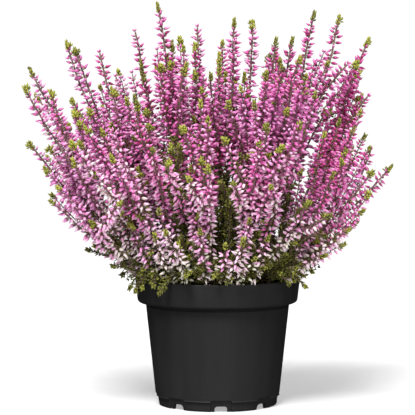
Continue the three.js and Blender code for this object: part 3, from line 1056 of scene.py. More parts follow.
@dataclass(frozen=True)
class PotFinish:
    """Moulded near-black plastic: a fine grain, faint marks from the mould, and a little pale dust."""

    black: Colour = (0.0108, 0.0108, 0.0114)
    worn: Colour = (0.0175, 0.017, 0.0175)
    dust: Colour = (0.055, 0.048, 0.040)
    marks: Grain = Grain(90.0, 4.0, stretch=(1.0, 1.0, 0.06))
    mark_share: Spread = (0.4, 0.75, 0.0, 0.5)
    clouds: Grain = Grain(28.0, 4.0)
    specks: Grain = Grain(1100.0, 2.0)
    speck_share: Spread = (0.66, 0.74, 0.0, 0.5)
    pores: Grain = Grain(2200.0, 2.0, 0.00005, 0.4)
    roughness: Spread = (0.3, 0.7, 0.60, 0.70)
    gloss: float = 0.27

    def material(self) -> Material:
        """Makes the material.

        Returns:
            The material.
        """
        recipe = Recipe("pot_plastic")
        marks, clouds = recipe.noise(self.marks), recipe.noise(self.clouds)
        colour = recipe.mix(recipe.spread(marks, *self.mark_share), self.black, self.worn)
        specks = recipe.spread(recipe.noise(self.specks), *self.speck_share)
        colour = recipe.mix(recipe.math("MULTIPLY", specks, clouds), colour, self.dust)
        recipe.bump(recipe.noise(self.pores), self.pores)
        roughness = recipe.spread(clouds, *self.roughness)
        return recipe.done(Base_Color=colour, Roughness=roughness, Specular_IOR_Level=self.gloss)


@dataclass(frozen=True)
class PeatFinish:
    """Damp dark peat: near-black red-brown crumb with paler fibres."""

    dark: Colour = (0.020, 0.009, 0.005)
    brown: Colour = (0.092, 0.042, 0.022)
    fibre: Colour = (0.20, 0.12, 0.065)
    crumb: Grain = Grain(450.0, 6.0, 0.0012, 0.9)
    brown_share: Spread = (0.35, 0.7, 0.0, 1.0)
    fibres: Grain = Grain(900.0, stretch=(1.0, 0.2, 1.0))
    fibre_share: Spread = (0.62, 0.7, 0.0, 0.8)
    roughness: float = 0.95
    gloss: float = 0.2

    def material(self) -> Material:
        """Makes the material.

        Returns:
            The material.
        """
        recipe = Recipe("peat")
        crumb = recipe.noise(self.crumb)
        colour = recipe.mix(recipe.spread(crumb, *self.brown_share), self.dark, self.brown)
        fibres = recipe.spread(recipe.noise(self.fibres), *self.fibre_share)
        colour = recipe.mix(fibres, colour, self.fibre)
        recipe.bump(crumb, self.crumb)
        return recipe.done(Base_Color=colour, Roughness=self.roughness, Specular_IOR_Level=self.gloss)


# The plant.


@dataclass
class Shoot:
    """One shoot to be dressed.

    It has its line, its habit, its length in bud, the length of its leafy tip, its stem's radius at the
    foot and at the tip, and the seed of its random numbers. A rooted shoot goes down into the peat. An
    inner one stands among others and has buds with fewer faces.
    """

    route: Route
    habit: Habit
    in_bud: float
    leafy_tip: float
    foot_radius: float
    tip_radius: float
    seed: int
    rooted: bool = False
    inner: bool = False


# a shoot, after the number of the spray or tuft that it grows on
NumberedShoot = tuple[int, Shoot]


@dataclass(frozen=True)
class Envelope:
    """The room that the finer shoots keep to.

    It is clear of the pot's rim, over a skirt line that rises outside the pot, and under a domed crown that
    falls away further on the left. The gaps are where the front of the plant stands open on its dark
    inside, each the x, the height, half the width and half the height of an ellipse. Spikes keep their buds
    out of them by the spike room.
    """

    rim_inner: float = 54.0
    rim_outer: float = 62.0
    rim_top: float = 93.5
    skirt_from: float = 71.0
    skirt_rise: float = 1.0
    skirt_height: float = 95.0
    crown: float = 275.0
    crown_fall: float = 0.0021
    open_from: float = 40.0
    open_fall: float = 0.55
    left: float = -129.0
    right: float = 112.0
    front: float = -15.0
    spike_room: float = 3.5
    gaps: tuple[tuple[float, float, float, float], ...] = (
        (-25, 162, 3, 12), (-25, 144, 3.5, 8), (-31, 116, 4, 5), (6, 160, 3, 8),
        (7, 117, 4, 5), (-36, 186, 4, 5), (-49, 173, 3, 4), (14, 178, 3, 3), (33, 136, 2.5, 5),
        (44, 142, 3, 4), (52, 116, 7, 8), (-39, 137, 4, 7),
    )

    def clears_rim(self, points: Array) -> bool:
        """True if no point lies in the pot's wall or against its outside."""
        out = np.hypot(points[:, 0], points[:, 1])
        beside = (out < self.rim_inner) | (out > self.rim_outer)
        return bool(np.all(beside | (points[:, 2] > self.rim_top)))

    def leaves_gaps(self, points: Array) -> bool:
        """Whether a spike stays out of the gaps in the front of the plant.

        Args:
            points: the spike's points.

        Returns:
            True if it does.
        """
        seen, gaps = points[points[:, 1] < self.front], np.array(self.gaps)
        away = (seen[:, None, ::2] - gaps[:, :2]) / (gaps[:, 2:] + self.spike_room)
        return bool(np.all((away**2).sum(axis=2) >= 1))

    def holds(self, points: Array) -> bool:
        """Whether points lie between the skirt line and the crown.

        Args:
            points: the points.

        Returns:
            True if all of them do.
        """
        out = np.hypot(points[:, 0], points[:, 1])
        skirt = self.skirt_height + self.skirt_rise * np.maximum(out - self.skirt_from, 0)
        over = (out < self.rim_inner) | (points[:, 2] > skirt)
        beside = (points[:, 0] > self.left) & (points[:, 0] < self.right)
        crown = self.crown - self.crown_fall * out**2
        crown -= self.open_fall * np.maximum(0.0, -points[:, 0] - self.open_from)
        return bool(np.all(over & beside & (points[:, 2] < crown)))


def held(value: float) -> float:
    """A value held between 0 and 1."""
    return min(1.0, max(0.0, value))


@dataclass(frozen=True)
class Sway:
    """Lets lines waver above the rim, and turn up at the front and the back. Lines that meet stay together.

    Each wave is how quickly it changes from place to place, and how far it goes. The shifts keep a wave's
    three directions apart.
    """

    rim_height: float = 92.0
    ease_over: float = 30.0
    waves: tuple[Range, ...] = ((0.021, 2.6), (0.075, 0.65))
    shifts: tuple[float, float, float] = (0.0, 31.4, 62.8)
    turn_from: float = 45.0
    turn_over: float = 65.0
    turn_power: float = 1.5
    turn_within: float = 130.0
    drawn_in: float = 0.13
    lift: float = 11.0

    def _wave(self, place: Array, scale: float, far: float) -> Array:
        """How far one wave moves a place, the same on every run."""
        x, y, z = place * scale
        return far * np.array([noise.noise(Vector((x + shift, y, z))) for shift in self.shifts])

    def moved(self, points: Array) -> Array:
        """Moves a line.

        Args:
            points: the line's points.

        Returns:
            The moved points.
        """
        moved = []
        for point in points:
            ease = held((point[2] - self.rim_height) / self.ease_over)
            wave = sum(self._wave(point, *row) for row in self.waves)
            turn_up = held((abs(point[1]) - self.turn_from) / self.turn_over) ** self.turn_power
            turn_up *= max(0.0, 1 - abs(point[0]) / self.turn_within)
            lift = turn_up * ease * np.array([0.0, -self.drawn_in * point[1], self.lift])
            moved.append(point + ease * wave + lift)
        return np.array(moved)


def pairs(rows: int) -> tuple[Array, Array]:
    """The row of each leaf or bud set in pairs, and the half turn of the second of each."""
    return np.repeat(np.arange(rows), 2), np.tile([0, math.pi], rows)


def around(frames: Array, angle: Array) -> Array:
    """The directions at angles round a line, from the frames along it."""
    return np.cos(angle)[:, None] * frames[:, 0] + np.sin(angle)[:, None] * frames[:, 1]


def turned_up(frames: Array, out: Array, rise: Array) -> Array:
    """Outward directions turned up along a line, by angles from straight out."""
    return np.cos(rise)[:, None] * out + np.sin(rise)[:, None] * frames[:, 2]


@dataclass(frozen=True)
class Spurs:
    """Short leafy side shoots: how far apart they stand, how long they are, and their least tone."""

    pitch: float
    lengths: Range
    tone: float


@dataclass
class Gardener:
    """Dresses shoots with stems, buds, bracts and leaves.

    The pitches are how far apart the pairs of buds and the leaves stand along a stem, and a stray is how
    far one is off on its own. Buds go from cream at the pale height to magenta at the full height, and
    deeper to the right and at both sides. Inside the plant they are painted deeper, as painted shade.
    Towards the middle of the plant, nearer than a share of its reach, stems have leaves and no buds, and
    so they have under the leafy height. Low down the buds stand thinner and nod, and near a spike's end
    they are small and turn up.
    """

    bud: Stock
    inner_bud: Stock
    leaf: Stock
    spur_leaf: Stock
    tip_leaf: Stock
    spur_stem: Stock
    envelope: Envelope
    cutting: Cutting = field(init=False)
    draw: np.random.Generator = field(init=False)
    set_out: float = 0.3
    # where a stem is marked, starts in the peat, and has its leaves and side shoots
    stem_step: float = 6.0
    root_height: float = 76.0
    leaves_from: float = 0.04
    leaves_past_buds: float = 4.0
    bare_end: float = 12.0
    spurs_from: float = 6.0
    spurs_to: float = 0.6
    twig_spurs: Range = (5.0, 3.0)
    # the plant as a whole
    pale_height: float = 100.0
    full_height: float = 200.0
    middle: tuple[float, float, float] = (0.0, 0.0, 100.0)
    reach: tuple[float, float, float] = (120.0, 110.0, 175.0)
    flowers_from: float = 0.47
    leafy_height: float = 126.0
    # the tones of the buds
    palest: float = 0.03
    deeper_high: float = 0.60
    high_power: float = 0.78
    deeper_right: float = 0.0013
    # painted shade: how much deeper buds are made towards the middle of the plant, from how near it, and at
    # most how far in
    inner_shade: float = 0.75
    inner_shade_from: float = 0.92
    inner_shade_most: float = 0.4
    deeper_sides: float = 0.0030
    sides_from: float = 45.0
    sides_over: float = 50.0
    tone_stray: Range = (0.09, 0.06)
    spike_stray: float = 0.13
    spike_most: Range = (-0.15, 0.22)
    # the buds
    bud_pitch: float = 1.85
    bud_pitches: Range = (0.92, 1.2)
    bud_turn: float = math.radians(90 + 11)
    bud_along: float = 0.3
    bud_stray: float = 0.4
    bud_sizes: Range = (0.88, 1.12)
    missing: tuple[float, ...] = (0.04, 0.04, 0.04, 0.2)
    thin_low: float = 0.3
    thin_power: float = 1.5
    nod: float = 0.5
    into_tip: float = 1.0
    least_tip: float = 1.2
    young_within: float = 16.0
    young_size: float = 0.7
    young_growth: float = 0.45
    bud_rise: float = 9.0
    young_rise: float = 36.0
    rise_fade: float = 2.4
    rise_stray: float = 14.0
    # the leaves
    leaf_pitch: float = 1.7
    leaf_turn: float = math.pi / 2 + 0.08
    leaf_along: float = 0.2
    leaf_rise: float = math.radians(58)
    leaf_tone: float = 0.42
    leaf_stray: float = 0.12
    leaf_tone_stray: float = 0.1
    leaf_sizes: Range = (0.85, 1.15)
    scale_pitch: float = 1.4
    scale_along: Range = (0.3, 0.7)
    scale_rise: Range = (38.0, 22.0)
    scale_tones: Range = (0.24, 0.42)
    scale_fresh: Range = (-0.13, 0.20)
    # the side shoots
    spurs: Spurs = Spurs(4.8, (5.0, 11.5), 0.14)
    leafy_spurs: Spurs = Spurs(5.4, (4.0, 8.5), 0.20)
    spur_leaf_pitch: float = 1.75
    spur_tones: float = 0.42
    spur_rises: Range = (25.0, 55.0)
    spur_bulge: float = 0.15
    spur_leaf_rise: float = math.radians(46)
    # the tips
    tip_buds: int = 3
    tip_bud_turn: float = 2.1
    tip_bud_spread: float = 0.55
    tip_bud_size: float = 0.6
    leafy_tip: float = 4.0
    spike_tip_tones: Range = (0.52, 0.96)
    leafy_tip_tones: Range = (0.35, 0.8)
    long_tip: float = 6.0
    side_tassels: int = 3
    side_tassel: float = 2.6
    side_tassel_at: Range = (0.5, 1.0)
    side_tassel_bend: tuple[Range, Range] = ((1.3, 1.3), (1.7, 3.4))
    tassel_pitch: float = 1.15
    tassel_end: float = 1.0
    tassel_turn: float = math.pi / 2 + 0.1
    tassel_rise: Range = (52.0, 26.0)

    def _axes(self, heading: Array, beside: Array) -> Array:
        """Directions for copies of a shape.

        Args:
            heading: for each copy, where its Z points.
            beside: for each copy, a direction that its X turns away from.

        Returns:
            For each copy, the directions of its X, Y and Z, as rows.
        """
        heading = heading / np.linalg.norm(heading, axis=1)[:, None]
        across = np.cross(beside, heading)
        across /= np.maximum(np.linalg.norm(across, axis=1), TINY)[:, None]
        return np.stack([np.cross(across, heading), across, heading], axis=1)

    def _from_middle(self, places: Array) -> Array:
        """How far places lie from the middle of the plant, as a share of its reach that way."""
        return np.linalg.norm((places - self.middle) / self.reach, axis=1)

    def _height_share(self, places: Array) -> Array:
        """How high places lie between the palest buds and the fully coloured ones."""
        share = (places[:, 2] - self.pale_height) / (self.full_height - self.pale_height)
        return np.clip(share, 0.0, 1.0)

    def _tones(self, places: Array, own: float) -> Array:
        """Bud tones: cream near the rim, magenta high up, uneven from bud to bud.

        Args:
            places: where the buds are.
            own: how much deeper the whole spike is.

        Returns:
            Each bud's tone, from 0 to 1.
        """
        share, aside = self._height_share(places), places[:, 0]
        tone = self.palest + self.deeper_high * share**self.high_power + self.deeper_right * share * aside
        # painted shade: buds nearer the middle of the plant are made deeper, as if shaded inside it
        inside = np.clip(self.inner_shade_from - self._from_middle(places), 0.0, self.inner_shade_most)
        tone += self.inner_shade * share * inside
        tone += self.deeper_sides * np.clip(np.abs(aside) - self.sides_from, 0.0, self.sides_over)
        stray = self.tone_stray[0] + self.tone_stray[1] * share
        return np.clip(tone + own + stray * self.draw.normal(0, 1, len(places)), 0.0, 1.0)

    def dress(self, cutting: Cutting, shoot: Shoot) -> None:
        """Adds one shoot to a piece.

        Args:
            cutting: the piece.
            shoot: the shoot.
        """
        self.cutting, self.draw = cutting, np.random.default_rng(shoot.seed)
        route = shoot.route
        marks = np.linspace(0, route.length, max(6, round(route.length / self.stem_step)))
        points, _ = route.at(marks)
        radii = shoot.foot_radius + (shoot.tip_radius - shoot.foot_radius) * marks / route.length
        if shoot.rooted:
            points = np.concatenate([np.array([[*points[0][:2], self.root_height]]), points])
            radii = np.concatenate([radii[:1], radii])
        cutting.stem(points, radii)
        if shoot.habit is Habit.SPIKE:
            bud_from = max(0.0, route.length - shoot.leafy_tip - shoot.in_bud)
            self._buds(shoot, bud_from)
            inside = self._from_middle(route.points) < self.flowers_from
            low = route.marks[inside | (route.points[:, 2] < self.leafy_height)]
            leafy_to = min(float(low.max(initial=0.0)), route.length - self.bare_end)
            leafy_to = max(bud_from + self.leaves_past_buds, leafy_to)
            self._leaves(route, self.leaves_from * route.length, leafy_to)
            self._spurs(route, self.spurs, self.spurs_from, max(bud_from, self.spurs_to * leafy_to))
        else:
            self._scales(route)
            start, short = self.twig_spurs
            self._spurs(route, self.leafy_spurs, start, route.length - short)
        self._tip(shoot)

    def _buds(self, shoot: Shoot, start: float) -> None:
        """Sets crossed pairs of buds along a spike.

        Args:
            shoot: the spike.
            start: how far along it the buds begin.
        """
        route = shoot.route
        end = route.length - max(shoot.leafy_tip - self.into_tip, self.least_tip)
        pitch = self.bud_pitch * self.draw.uniform(*self.bud_pitches)
        rows = max(3, round((end - start) / pitch))
        index, half_turn = pairs(rows)
        off = self.draw.uniform(-self.bud_along, self.bud_along, len(index))
        along = start + (end - start) * (index + off) / rows
        places, frames = route.at(along)
        missing = self.draw.choice(self.missing)
        missing += self.thin_low * (1 - self._height_share(places)) ** self.thin_power
        keep = (self.draw.random(len(index)) > missing) & (self._from_middle(places) > self.flowers_from)
        angle = index * self.bud_turn + half_turn + self.draw.normal(0, self.bud_stray, len(index))
        along, angle, places, frames = along[keep], angle[keep], places[keep], frames[keep]
        out = around(frames, angle)
        from_end = np.maximum(end - along, 0) / self.young_within
        rise = self.bud_rise + self.young_rise * np.exp(-self.rise_fade * from_end)
        rise += self.draw.normal(0, self.rise_stray, len(along))
        heading = turned_up(frames, out, np.radians(rise))
        heading -= (self.nod * (1 - self._height_share(places)))[:, None] * UP
        size = np.clip(self.young_size + self.young_growth * from_end, self.young_size, 1.0)
        size = size * self.draw.uniform(*self.bud_sizes, len(along))
        own = float(np.clip(self.draw.normal(0, self.spike_stray), *self.spike_most))
        tones = self._tones(places, own)
        stock = self.inner_bud if shoot.inner else self.bud
        self.cutting.lay(stock, places + self.set_out * out, self._axes(heading, frames[:, 2]), size, tones)

    def _leaves(self, route: Route, start: float, end: float) -> None:
        """Sets four rows of scale leaves along a stretch of a shoot.

        Args:
            route: the shoot's line.
            start: where the stretch begins.
            end: where it ends.
        """
        if end - start < self.leaf_pitch:
            return
        rows = round((end - start) / self.leaf_pitch)
        index, half_turn = pairs(rows)
        off = self.draw.uniform(-self.leaf_along, self.leaf_along, len(index))
        along = start + (end - start) * (index + off) / rows
        angle = index * self.leaf_turn + half_turn
        self._leaf_ring(self.leaf, route, along, angle, self.leaf_rise, self.leaf_tone)

    def _scales(self, route: Route) -> None:
        """Sets close scale leaves all along a leafy shoot, fresher in its outer half.

        Args:
            route: the shoot's line.
        """
        rows = max(3, round(route.length / self.scale_pitch))
        index, half_turn = pairs(rows)
        along = route.length * (index + self.draw.uniform(*self.scale_along, len(index))) / rows
        angle = index * self.leaf_turn + half_turn
        rise = np.radians(self.scale_rise[0] + self.scale_rise[1] * index / rows)
        fresh = float(self.draw.uniform(*self.scale_fresh))
        inner = index < rows / 2
        for part, tone in zip((inner, ~inner), self.scale_tones):
            these = (along[part], angle[part], rise[part])
            self._leaf_ring(self.spur_leaf, route, *these, tone + fresh)

    def _leaf_ring(
        self, leaf: Stock, route: Route, along: Array, angle: Array, rise: float | Array,
        tone: float,
    ) -> None:
        """Lays leaves at places along a route.

        Args:
            leaf: the leaf.
            route: the route.
            along: how far along it each leaf stands.
            angle: each leaf's angle round it.
            rise: how far the leaves turn up along it, or how far each does.
            tone: the leaves' tone, from 0 to 1.
        """
        places, frames = route.at(along)
        out = around(frames, angle)
        heading = turned_up(frames, out, rise + self.draw.normal(0, self.leaf_stray, len(along)))
        tones = np.clip(tone + self.draw.normal(0, self.leaf_tone_stray, len(along)), 0, 1)
        size = self.draw.uniform(*self.leaf_sizes, len(along))
        self.cutting.lay(leaf, places + self.set_out * out, self._axes(heading, frames[:, 2]), size, tones)

    def _spurs(self, route: Route, spurs: Spurs, start: float, end: float) -> None:
        """Sets short leafy side shoots along a stretch of a shoot, clear of the rim.

        Args:
            route: the shoot's line.
            spurs: what the side shoots are like.
            start: where the stretch begins.
            end: where it ends.
        """
        for number in range(int(max(0.0, end - start) / spurs.pitch)):
            along = start + (number + self.draw.random()) * spurs.pitch
            place, frame, out = self._to_one_side(route, along, self.draw.uniform(0, 2 * math.pi))
            length = self.draw.uniform(*spurs.lengths)
            rise = math.radians(self.draw.uniform(*self.spur_rises))
            tip = place + length * (math.cos(rise) * out + math.sin(rise) * frame[2])
            over = 0.5 * (place + tip) + self.spur_bulge * length * out
            side = Route(bend(place, over, tip, 3))
            if not self.envelope.clears_rim(side.points):
                continue
            rows = round(side.length / self.spur_leaf_pitch)
            index, half_turn = pairs(rows)
            ring = index * (math.pi / 2) + half_turn
            marks = side.length * (index + 1) / rows
            tone = spurs.tone + self.spur_tones * self.draw.random()
            axes = self._axes((tip - place)[None], out[None])
            self.cutting.lay(self.spur_stem, place[None], axes, np.array([length]), np.array([tone]))
            self._leaf_ring(self.spur_leaf, side, marks, ring, self.spur_leaf_rise, tone)

    def _to_one_side(self, route: Route, along: float, angle: float) -> tuple[Array, ...]:
        """A place on a line, its frame, and the direction at an angle round it."""
        (place,), (frame,) = route.at(np.array([along]))
        return place, frame, math.cos(angle) * frame[0] + math.sin(angle) * frame[1]

    def _tip(self, shoot: Shoot) -> None:
        """Ends a shoot in a tassel of fresh leaves, or in a few small buds where it has no leafy tip.

        Args:
            shoot: the shoot.
        """
        route, spike = shoot.route, shoot.habit is Habit.SPIKE
        if spike and not shoot.leafy_tip:
            self._tip_buds(route)
            return
        length = shoot.leafy_tip or self.leafy_tip
        tone = float(self.draw.uniform(*(self.spike_tip_tones if spike else self.leafy_tip_tones)))
        self._tassel(route, length, tone)
        for _ in range(int(self.draw.integers(0, self.side_tassels)) if length > self.long_tip else 0):
            angle = self.draw.uniform(0, 2 * math.pi)
            along = route.length - length * self.draw.uniform(*self.side_tassel_at)
            place, frame, out = self._to_one_side(route, along, angle)
            bent, end = (place + aside * out + up * frame[2] for aside, up in self.side_tassel_bend)
            self._tassel(Route(np.stack([place, bent, end])), self.side_tassel, tone)

    def _tip_buds(self, route: Route) -> None:
        """Ends a spike in a few small buds.

        Args:
            route: the spike's line.
        """
        angle = np.arange(self.tip_buds) * self.tip_bud_turn + self.draw.random()
        places, frames = route.at(np.full(self.tip_buds, route.length))
        out = around(frames, angle)
        heading = self.tip_bud_spread * out + frames[:, 2]
        size = np.full(self.tip_buds, self.tip_bud_size)
        self.cutting.lay(self.inner_bud, places, self._axes(heading, out), size, self._tones(places, 0))

    def _tassel(self, route: Route, length: float, tone: float) -> None:
        """Lays broad fresh leaves, crossed in pairs and closing towards the tip.

        Args:
            route: the line that they end.
            length: how much of its end they cover.
            tone: the leaves' tone, from 0 to 1.
        """
        rows = max(3, round(length / self.tassel_pitch))
        index, half_turn = pairs(rows)
        along = route.length - length + (length - self.tassel_end) * (index + 0.5) / rows
        angle = index * self.tassel_turn + half_turn + self.draw.random()
        rise = np.radians(self.tassel_rise[0] + self.tassel_rise[1] * index / rows)
        self._leaf_ring(self.tip_leaf, route, along, angle, rise, tone)


class Seed(IntEnum):
    """The first seed of each kind of shoot."""

    OWN = 100
    SIDE_SPIKE = 9000
    TUFT_SHOOT = 20000
    INNER_SHOOT = 30000
    SPRIG = 40000
    TWIG = 50000
    UPRIGHT = 60000
    LOW_SPIKE = 70000


@dataclass(frozen=True)
class SideHabit:
    """How side spikes of one kind grow.

    It has how far along the parent they start, how long they are, how much they turn upright, the share of
    them in bud, and whether they grow low down.
    """

    starts: Range
    lengths: Range
    upright: float
    in_bud: float
    low_down: bool


@dataclass(frozen=True)
class UprightHabit:
    """How uprights of one kind stand: how far out their feet are, how far they lean out, and how high."""

    feet: Range
    leans: Range
    heights: Range


@dataclass
class Filler:
    """Finds room for finer shoots between the plant's own, within its envelope.

    Low and high are the corners of the plant's box. Side spikes grow from the sprays' own spikes, beside
    them, and the best of several tries is the one nearest the bundle gap from all others. Uprights rise
    from the peat. The low spikes are each how far out, how high and at what bearing their tips lie. The
    leafy shoots fill the middle, and each tuft has more shoots and sprigs of its own. The twigs are each
    the number of a tuft, and then like the low spikes. A bulge is how far a line's middle stands above the
    straight one, and how much further for each millimetre past the rim. At work the filler holds the spikes
    to grow from, the leaders of the sprays and tufts, its random numbers and the shoots found so far.
    """

    low: Array
    high: Array
    envelope: Envelope
    parents: list[Chain] = field(init=False)
    roots: list[Chain] = field(init=False)
    tufts: list[Chain] = field(init=False)
    draw: np.random.Generator = field(init=False)
    found: list[NumberedShoot] = field(default_factory=list)
    seed: int = 7
    seeds_a_tuft: int = 100
    samples: int = 8
    long_samples: int = 10
    peat_height: float = 84.0
    past_rim: float = 58.0
    spike_radii: Range = (0.6, 0.4)
    shoot_radii: Range = (0.5, 0.3)
    # side spikes
    spikes: int = 112
    skirts: int = 22
    tries: int = 16
    bundle_gap: float = 8.0
    side_favour: float = 0.005
    box_room: float = 7.0
    least_height: float = 108.0
    beside: Range = (6.0, 15.0)
    side_radii: Range = (0.55, 0.36)
    side_leafy: tuple[float, ...] = (0.0, 5.0, 7.0, 8.0)
    crown_habit: SideHabit = SideHabit((0.22, 0.62), (50.0, 84.0), 0.2, 0.78, False)
    skirt_habit: SideHabit = SideHabit((0.03, 0.34), (34.0, 62.0), 0.5, 0.9, True)
    side_lead: float = 0.3
    side_bulge: float = 0.9
    skirt_lean: float = 0.8
    front_share: float = 0.7
    front_from: float = -20.0
    front_right: tuple[float, ...] = (10.0, 200.0)
    # uprights
    uprights: int = 76
    most_tries: int = 400
    golden_turn: float = 137.5
    front_spread: float = 80.0
    upright_turn: float = 6.0
    outer_upright: UprightHabit = UprightHabit((34.0, 49.0), (6.0, 32.0), (122.0, 176.0))
    inner_upright: UprightHabit = UprightHabit((5.0, 24.0), (2.0, 20.0), (190.0, 240.0))
    upright_bend: Range = (0.75, 0.4)
    upright_leafy: tuple[float, ...] = (0.0, 5.0, 6.0, 8.0)
    bare_below: float = 98.0
    # low spikes
    low_foot: Range = (47.0, 86.0)
    low_over: Range = (62.0, 104.0)
    low_bare: float = 14.0
    low_leafy: float = 6.0
    low_spikes: tuple[tuple[float, float, float], ...] = (
        (101, 130, -22), (94, 118, -13), (108, 143, -15), (88, 112, -30), (103, 133, 3), (76, 112, -70),
        (97, 124, 14), (90, 116, 187), (96, 126, 158), (92, 120, 112), (90, 122, 70),
        (104, 214, -8), (100, 200, 6), (96, 186, -18), (107, 196, -2), (94, 170, -30), (101, 178, 10),
        (90, 207, -15), (82, 198, -22), (78, 184, 12), (77, 134, -142), (88, 156, -152), (72, 128, -128),
        (68, 122, -114), (95, 142, -163), (80, 132, -99), (75, 122, -86), (84, 140, -75), (77, 127, -63),
        (82, 146, -120), (93, 132, -113),
    )
    # leafy shoots up the middle
    leafy: int = 58
    leafy_starts: Range = (0.08, 0.4)
    leafy_spread: float = 1.35
    leafy_aside: float = 26.0
    leafy_rises: Range = (34.0, 70.0)
    leafy_bulge: float = 8.0
    leafy_within: Range = (78.0, 200.0)
    # more shoots of the tufts
    tuft_shoots: int = 5
    tuft_turn: float = 20.0
    tuft_reaches: Range = (36.0, 82.0)
    tuft_heights: Range = (98.0, 22.0)
    tuft_rise: float = 0.85
    tuft_bulge: Range = (12.0, 0.15)
    # sprigs of the tufts
    sprigs: int = 3
    sprig_turn: float = 22.0
    sprig_feet: Range = (38.0, 51.0)
    sprig_reaches: Range = (46.0, 66.0)
    sprig_heights: Range = (95.0, 106.0)
    sprig_rise: float = 0.3
    sprig_tip_turn: float = 8.0
    sprig_bulge: Range = (6.0, 0.5)
    sprig_past: float = 56.0
    sprig_radii: Range = (0.45, 0.28)
    sprig_samples: int = 6
    # long twigs of the tufts
    twig_bulge: float = 5.0
    twig_over: float = 103.0
    twig_droop: Range = (0.9, 94.0)
    twigs: tuple[tuple[int, float, float, float], ...] = (
        (0, 96, 114, -168), (0, 91, 145, -165), (0, 82, 103, -157), (0, 69, 88, -141), (0, 66, 91, -134),
        (0, 72, 87, -151), (1, 68, 90, -124), (3, 67, 93, -36), (3, 70, 96, -27), (3, 64, 98, -46),
        (8, 69, 88, 132), (6, 68, 90, 52), (5, 70, 95, 20), (2, 24, 150, -66), (2, 30, 132, -98),
        (6, 20, 158, 50), (7, 22, 148, 95), (7, 30, 165, 80), (8, 24, 150, 120), (7, 40, 172, 80),
        (6, 60, 137, 42), (6, 68, 155, 36), (3, 66, 112, -40), (3, 62, 119, -50), (3, 70, 106, -33),
        (3, 75, 103, -42), (3, 69, 113, -47),
    )

    def shoots(self, chains: list[Chain]) -> list[NumberedShoot]:
        """Side spikes for the sprays and more shoots for the tufts.

        Args:
            chains: the plant's chains.

        Returns:
            Each new shoot with the number of the spray or tuft that it grows on.
        """
        self.draw = np.random.default_rng(self.seed)
        self.parents = [c for c in chains if c.habit is Habit.SPIKE]
        self.roots = [c for c in self.parents if c.parent is None]
        self.tufts = [c for c in chains if c.habit is Habit.LEAFY and c.parent is None]
        self._side_spikes()
        self._uprights()
        self._low_spikes()
        self._inner_shoots()
        self._tuft_shoots()
        self._sprigs()
        self._long_twigs()
        return self.found

    def _add_leafy(self, chain: Chain, route: Route, radii: Range, seed: int) -> None:
        """Adds a leafy shoot to the spray or tuft of a chain."""
        self.found.append((chain.spray, Shoot(route, Habit.LEAFY, 0, 0, *radii, seed)))

    def _add_from_peat(self, shoot: Shoot, start: Array) -> None:
        """Adds a spike that rises from the peat to the spray whose foot stands nearest its own."""
        nearest = min(self.roots, key=lambda c: float(np.linalg.norm(c.foot - start[:2])))
        self.found.append((nearest.spray, shoot))

    def _turned(self, bearing: float, most: float) -> float:
        """A bearing turned by up to so many degrees either way."""
        return bearing + math.radians(self.draw.uniform(-most, most))

    def _side_spikes(self) -> None:
        """Side spikes where there is most room for them, and then lower ones."""
        taken = np.concatenate([c.points[len(c.points) // 2:] for c in self.parents])
        for number in range(self.spikes + self.skirts):
            habit = self.skirt_habit if number >= self.spikes else self.crown_habit
            best: tuple[float, Chain, Array] | None = None
            for _ in range(self.tries):
                parent, line = self._candidate(habit)
                if not self._inside(line):
                    continue
                gap = np.linalg.norm(taken[:, None] - line[None, 2:], axis=2).min(axis=0).mean()
                miss = abs(gap - self.bundle_gap) * (1 - self.side_favour * abs(line[-1][0]))
                if best is None or miss < best[0]:
                    best = (miss, parent, line)
            if best is None:
                continue
            _, parent, line = best
            taken = np.concatenate([taken, line[2:]])
            route = Route(line)
            leafy = float(self.draw.choice(self.side_leafy))
            in_bud, seed = habit.in_bud * route.length - leafy, Seed.SIDE_SPIKE + number
            inner = not habit.low_down
            shoot = Shoot(route, Habit.SPIKE, in_bud, leafy, *self.side_radii, seed, inner=inner)
            self.found.append((parent.spray, shoot))

    def _candidate(self, habit: SideHabit) -> tuple[Chain, Array]:
        """Draws a side spike that might do. Most of the low ones grow in front.

        Args:
            habit: how it grows.

        Returns:
            Its parent and its line.
        """
        draw, parents = self.draw, self.parents
        parent = parents[draw.integers(len(parents))]
        if habit.low_down and draw.random() < self.front_share:
            ahead = [c for c in parents if c.points[-1][1] < self.front_from]
            front = [c for c in ahead if c.points[-1][0] < draw.choice(self.front_right)]
            parent = front[draw.integers(len(front))]
        at = int((len(parent.points) - 1) * draw.uniform(*habit.starts))
        start = parent.points[at]
        heading = parent.points[at + 1] - start
        heading /= np.linalg.norm(heading)
        outwards = np.array([start[0], start[1], 0.0])
        outwards /= max(np.linalg.norm(outwards), TINY)
        side = draw.normal(size=3)
        if habit.low_down:
            side = self.skirt_lean * outwards + self.skirt_lean * side
        side -= heading * side.dot(heading)
        side /= np.linalg.norm(side)
        beside, length = draw.uniform(*self.beside), draw.uniform(*habit.lengths)
        tip = start + length * ((1 - habit.upright) * heading + habit.upright * UP) + beside * side
        bent = start + self.side_lead * length * heading + self.side_bulge * beside * side
        return parent, bend(start, bent, tip, self.samples)

    def _inside(self, line: Array) -> bool:
        """Whether a line stays in the plant's box, its envelope and out of its gaps.

        Args:
            line: the line's points.

        Returns:
            True if it does.
        """
        boxed = np.all(line > self.low + self.box_room) and np.all(line < self.high - self.box_room)
        high_enough = line[-1][2] > self.least_height
        return bool(boxed and high_enough and self.envelope.holds(line) and self.envelope.leaves_gaps(line))

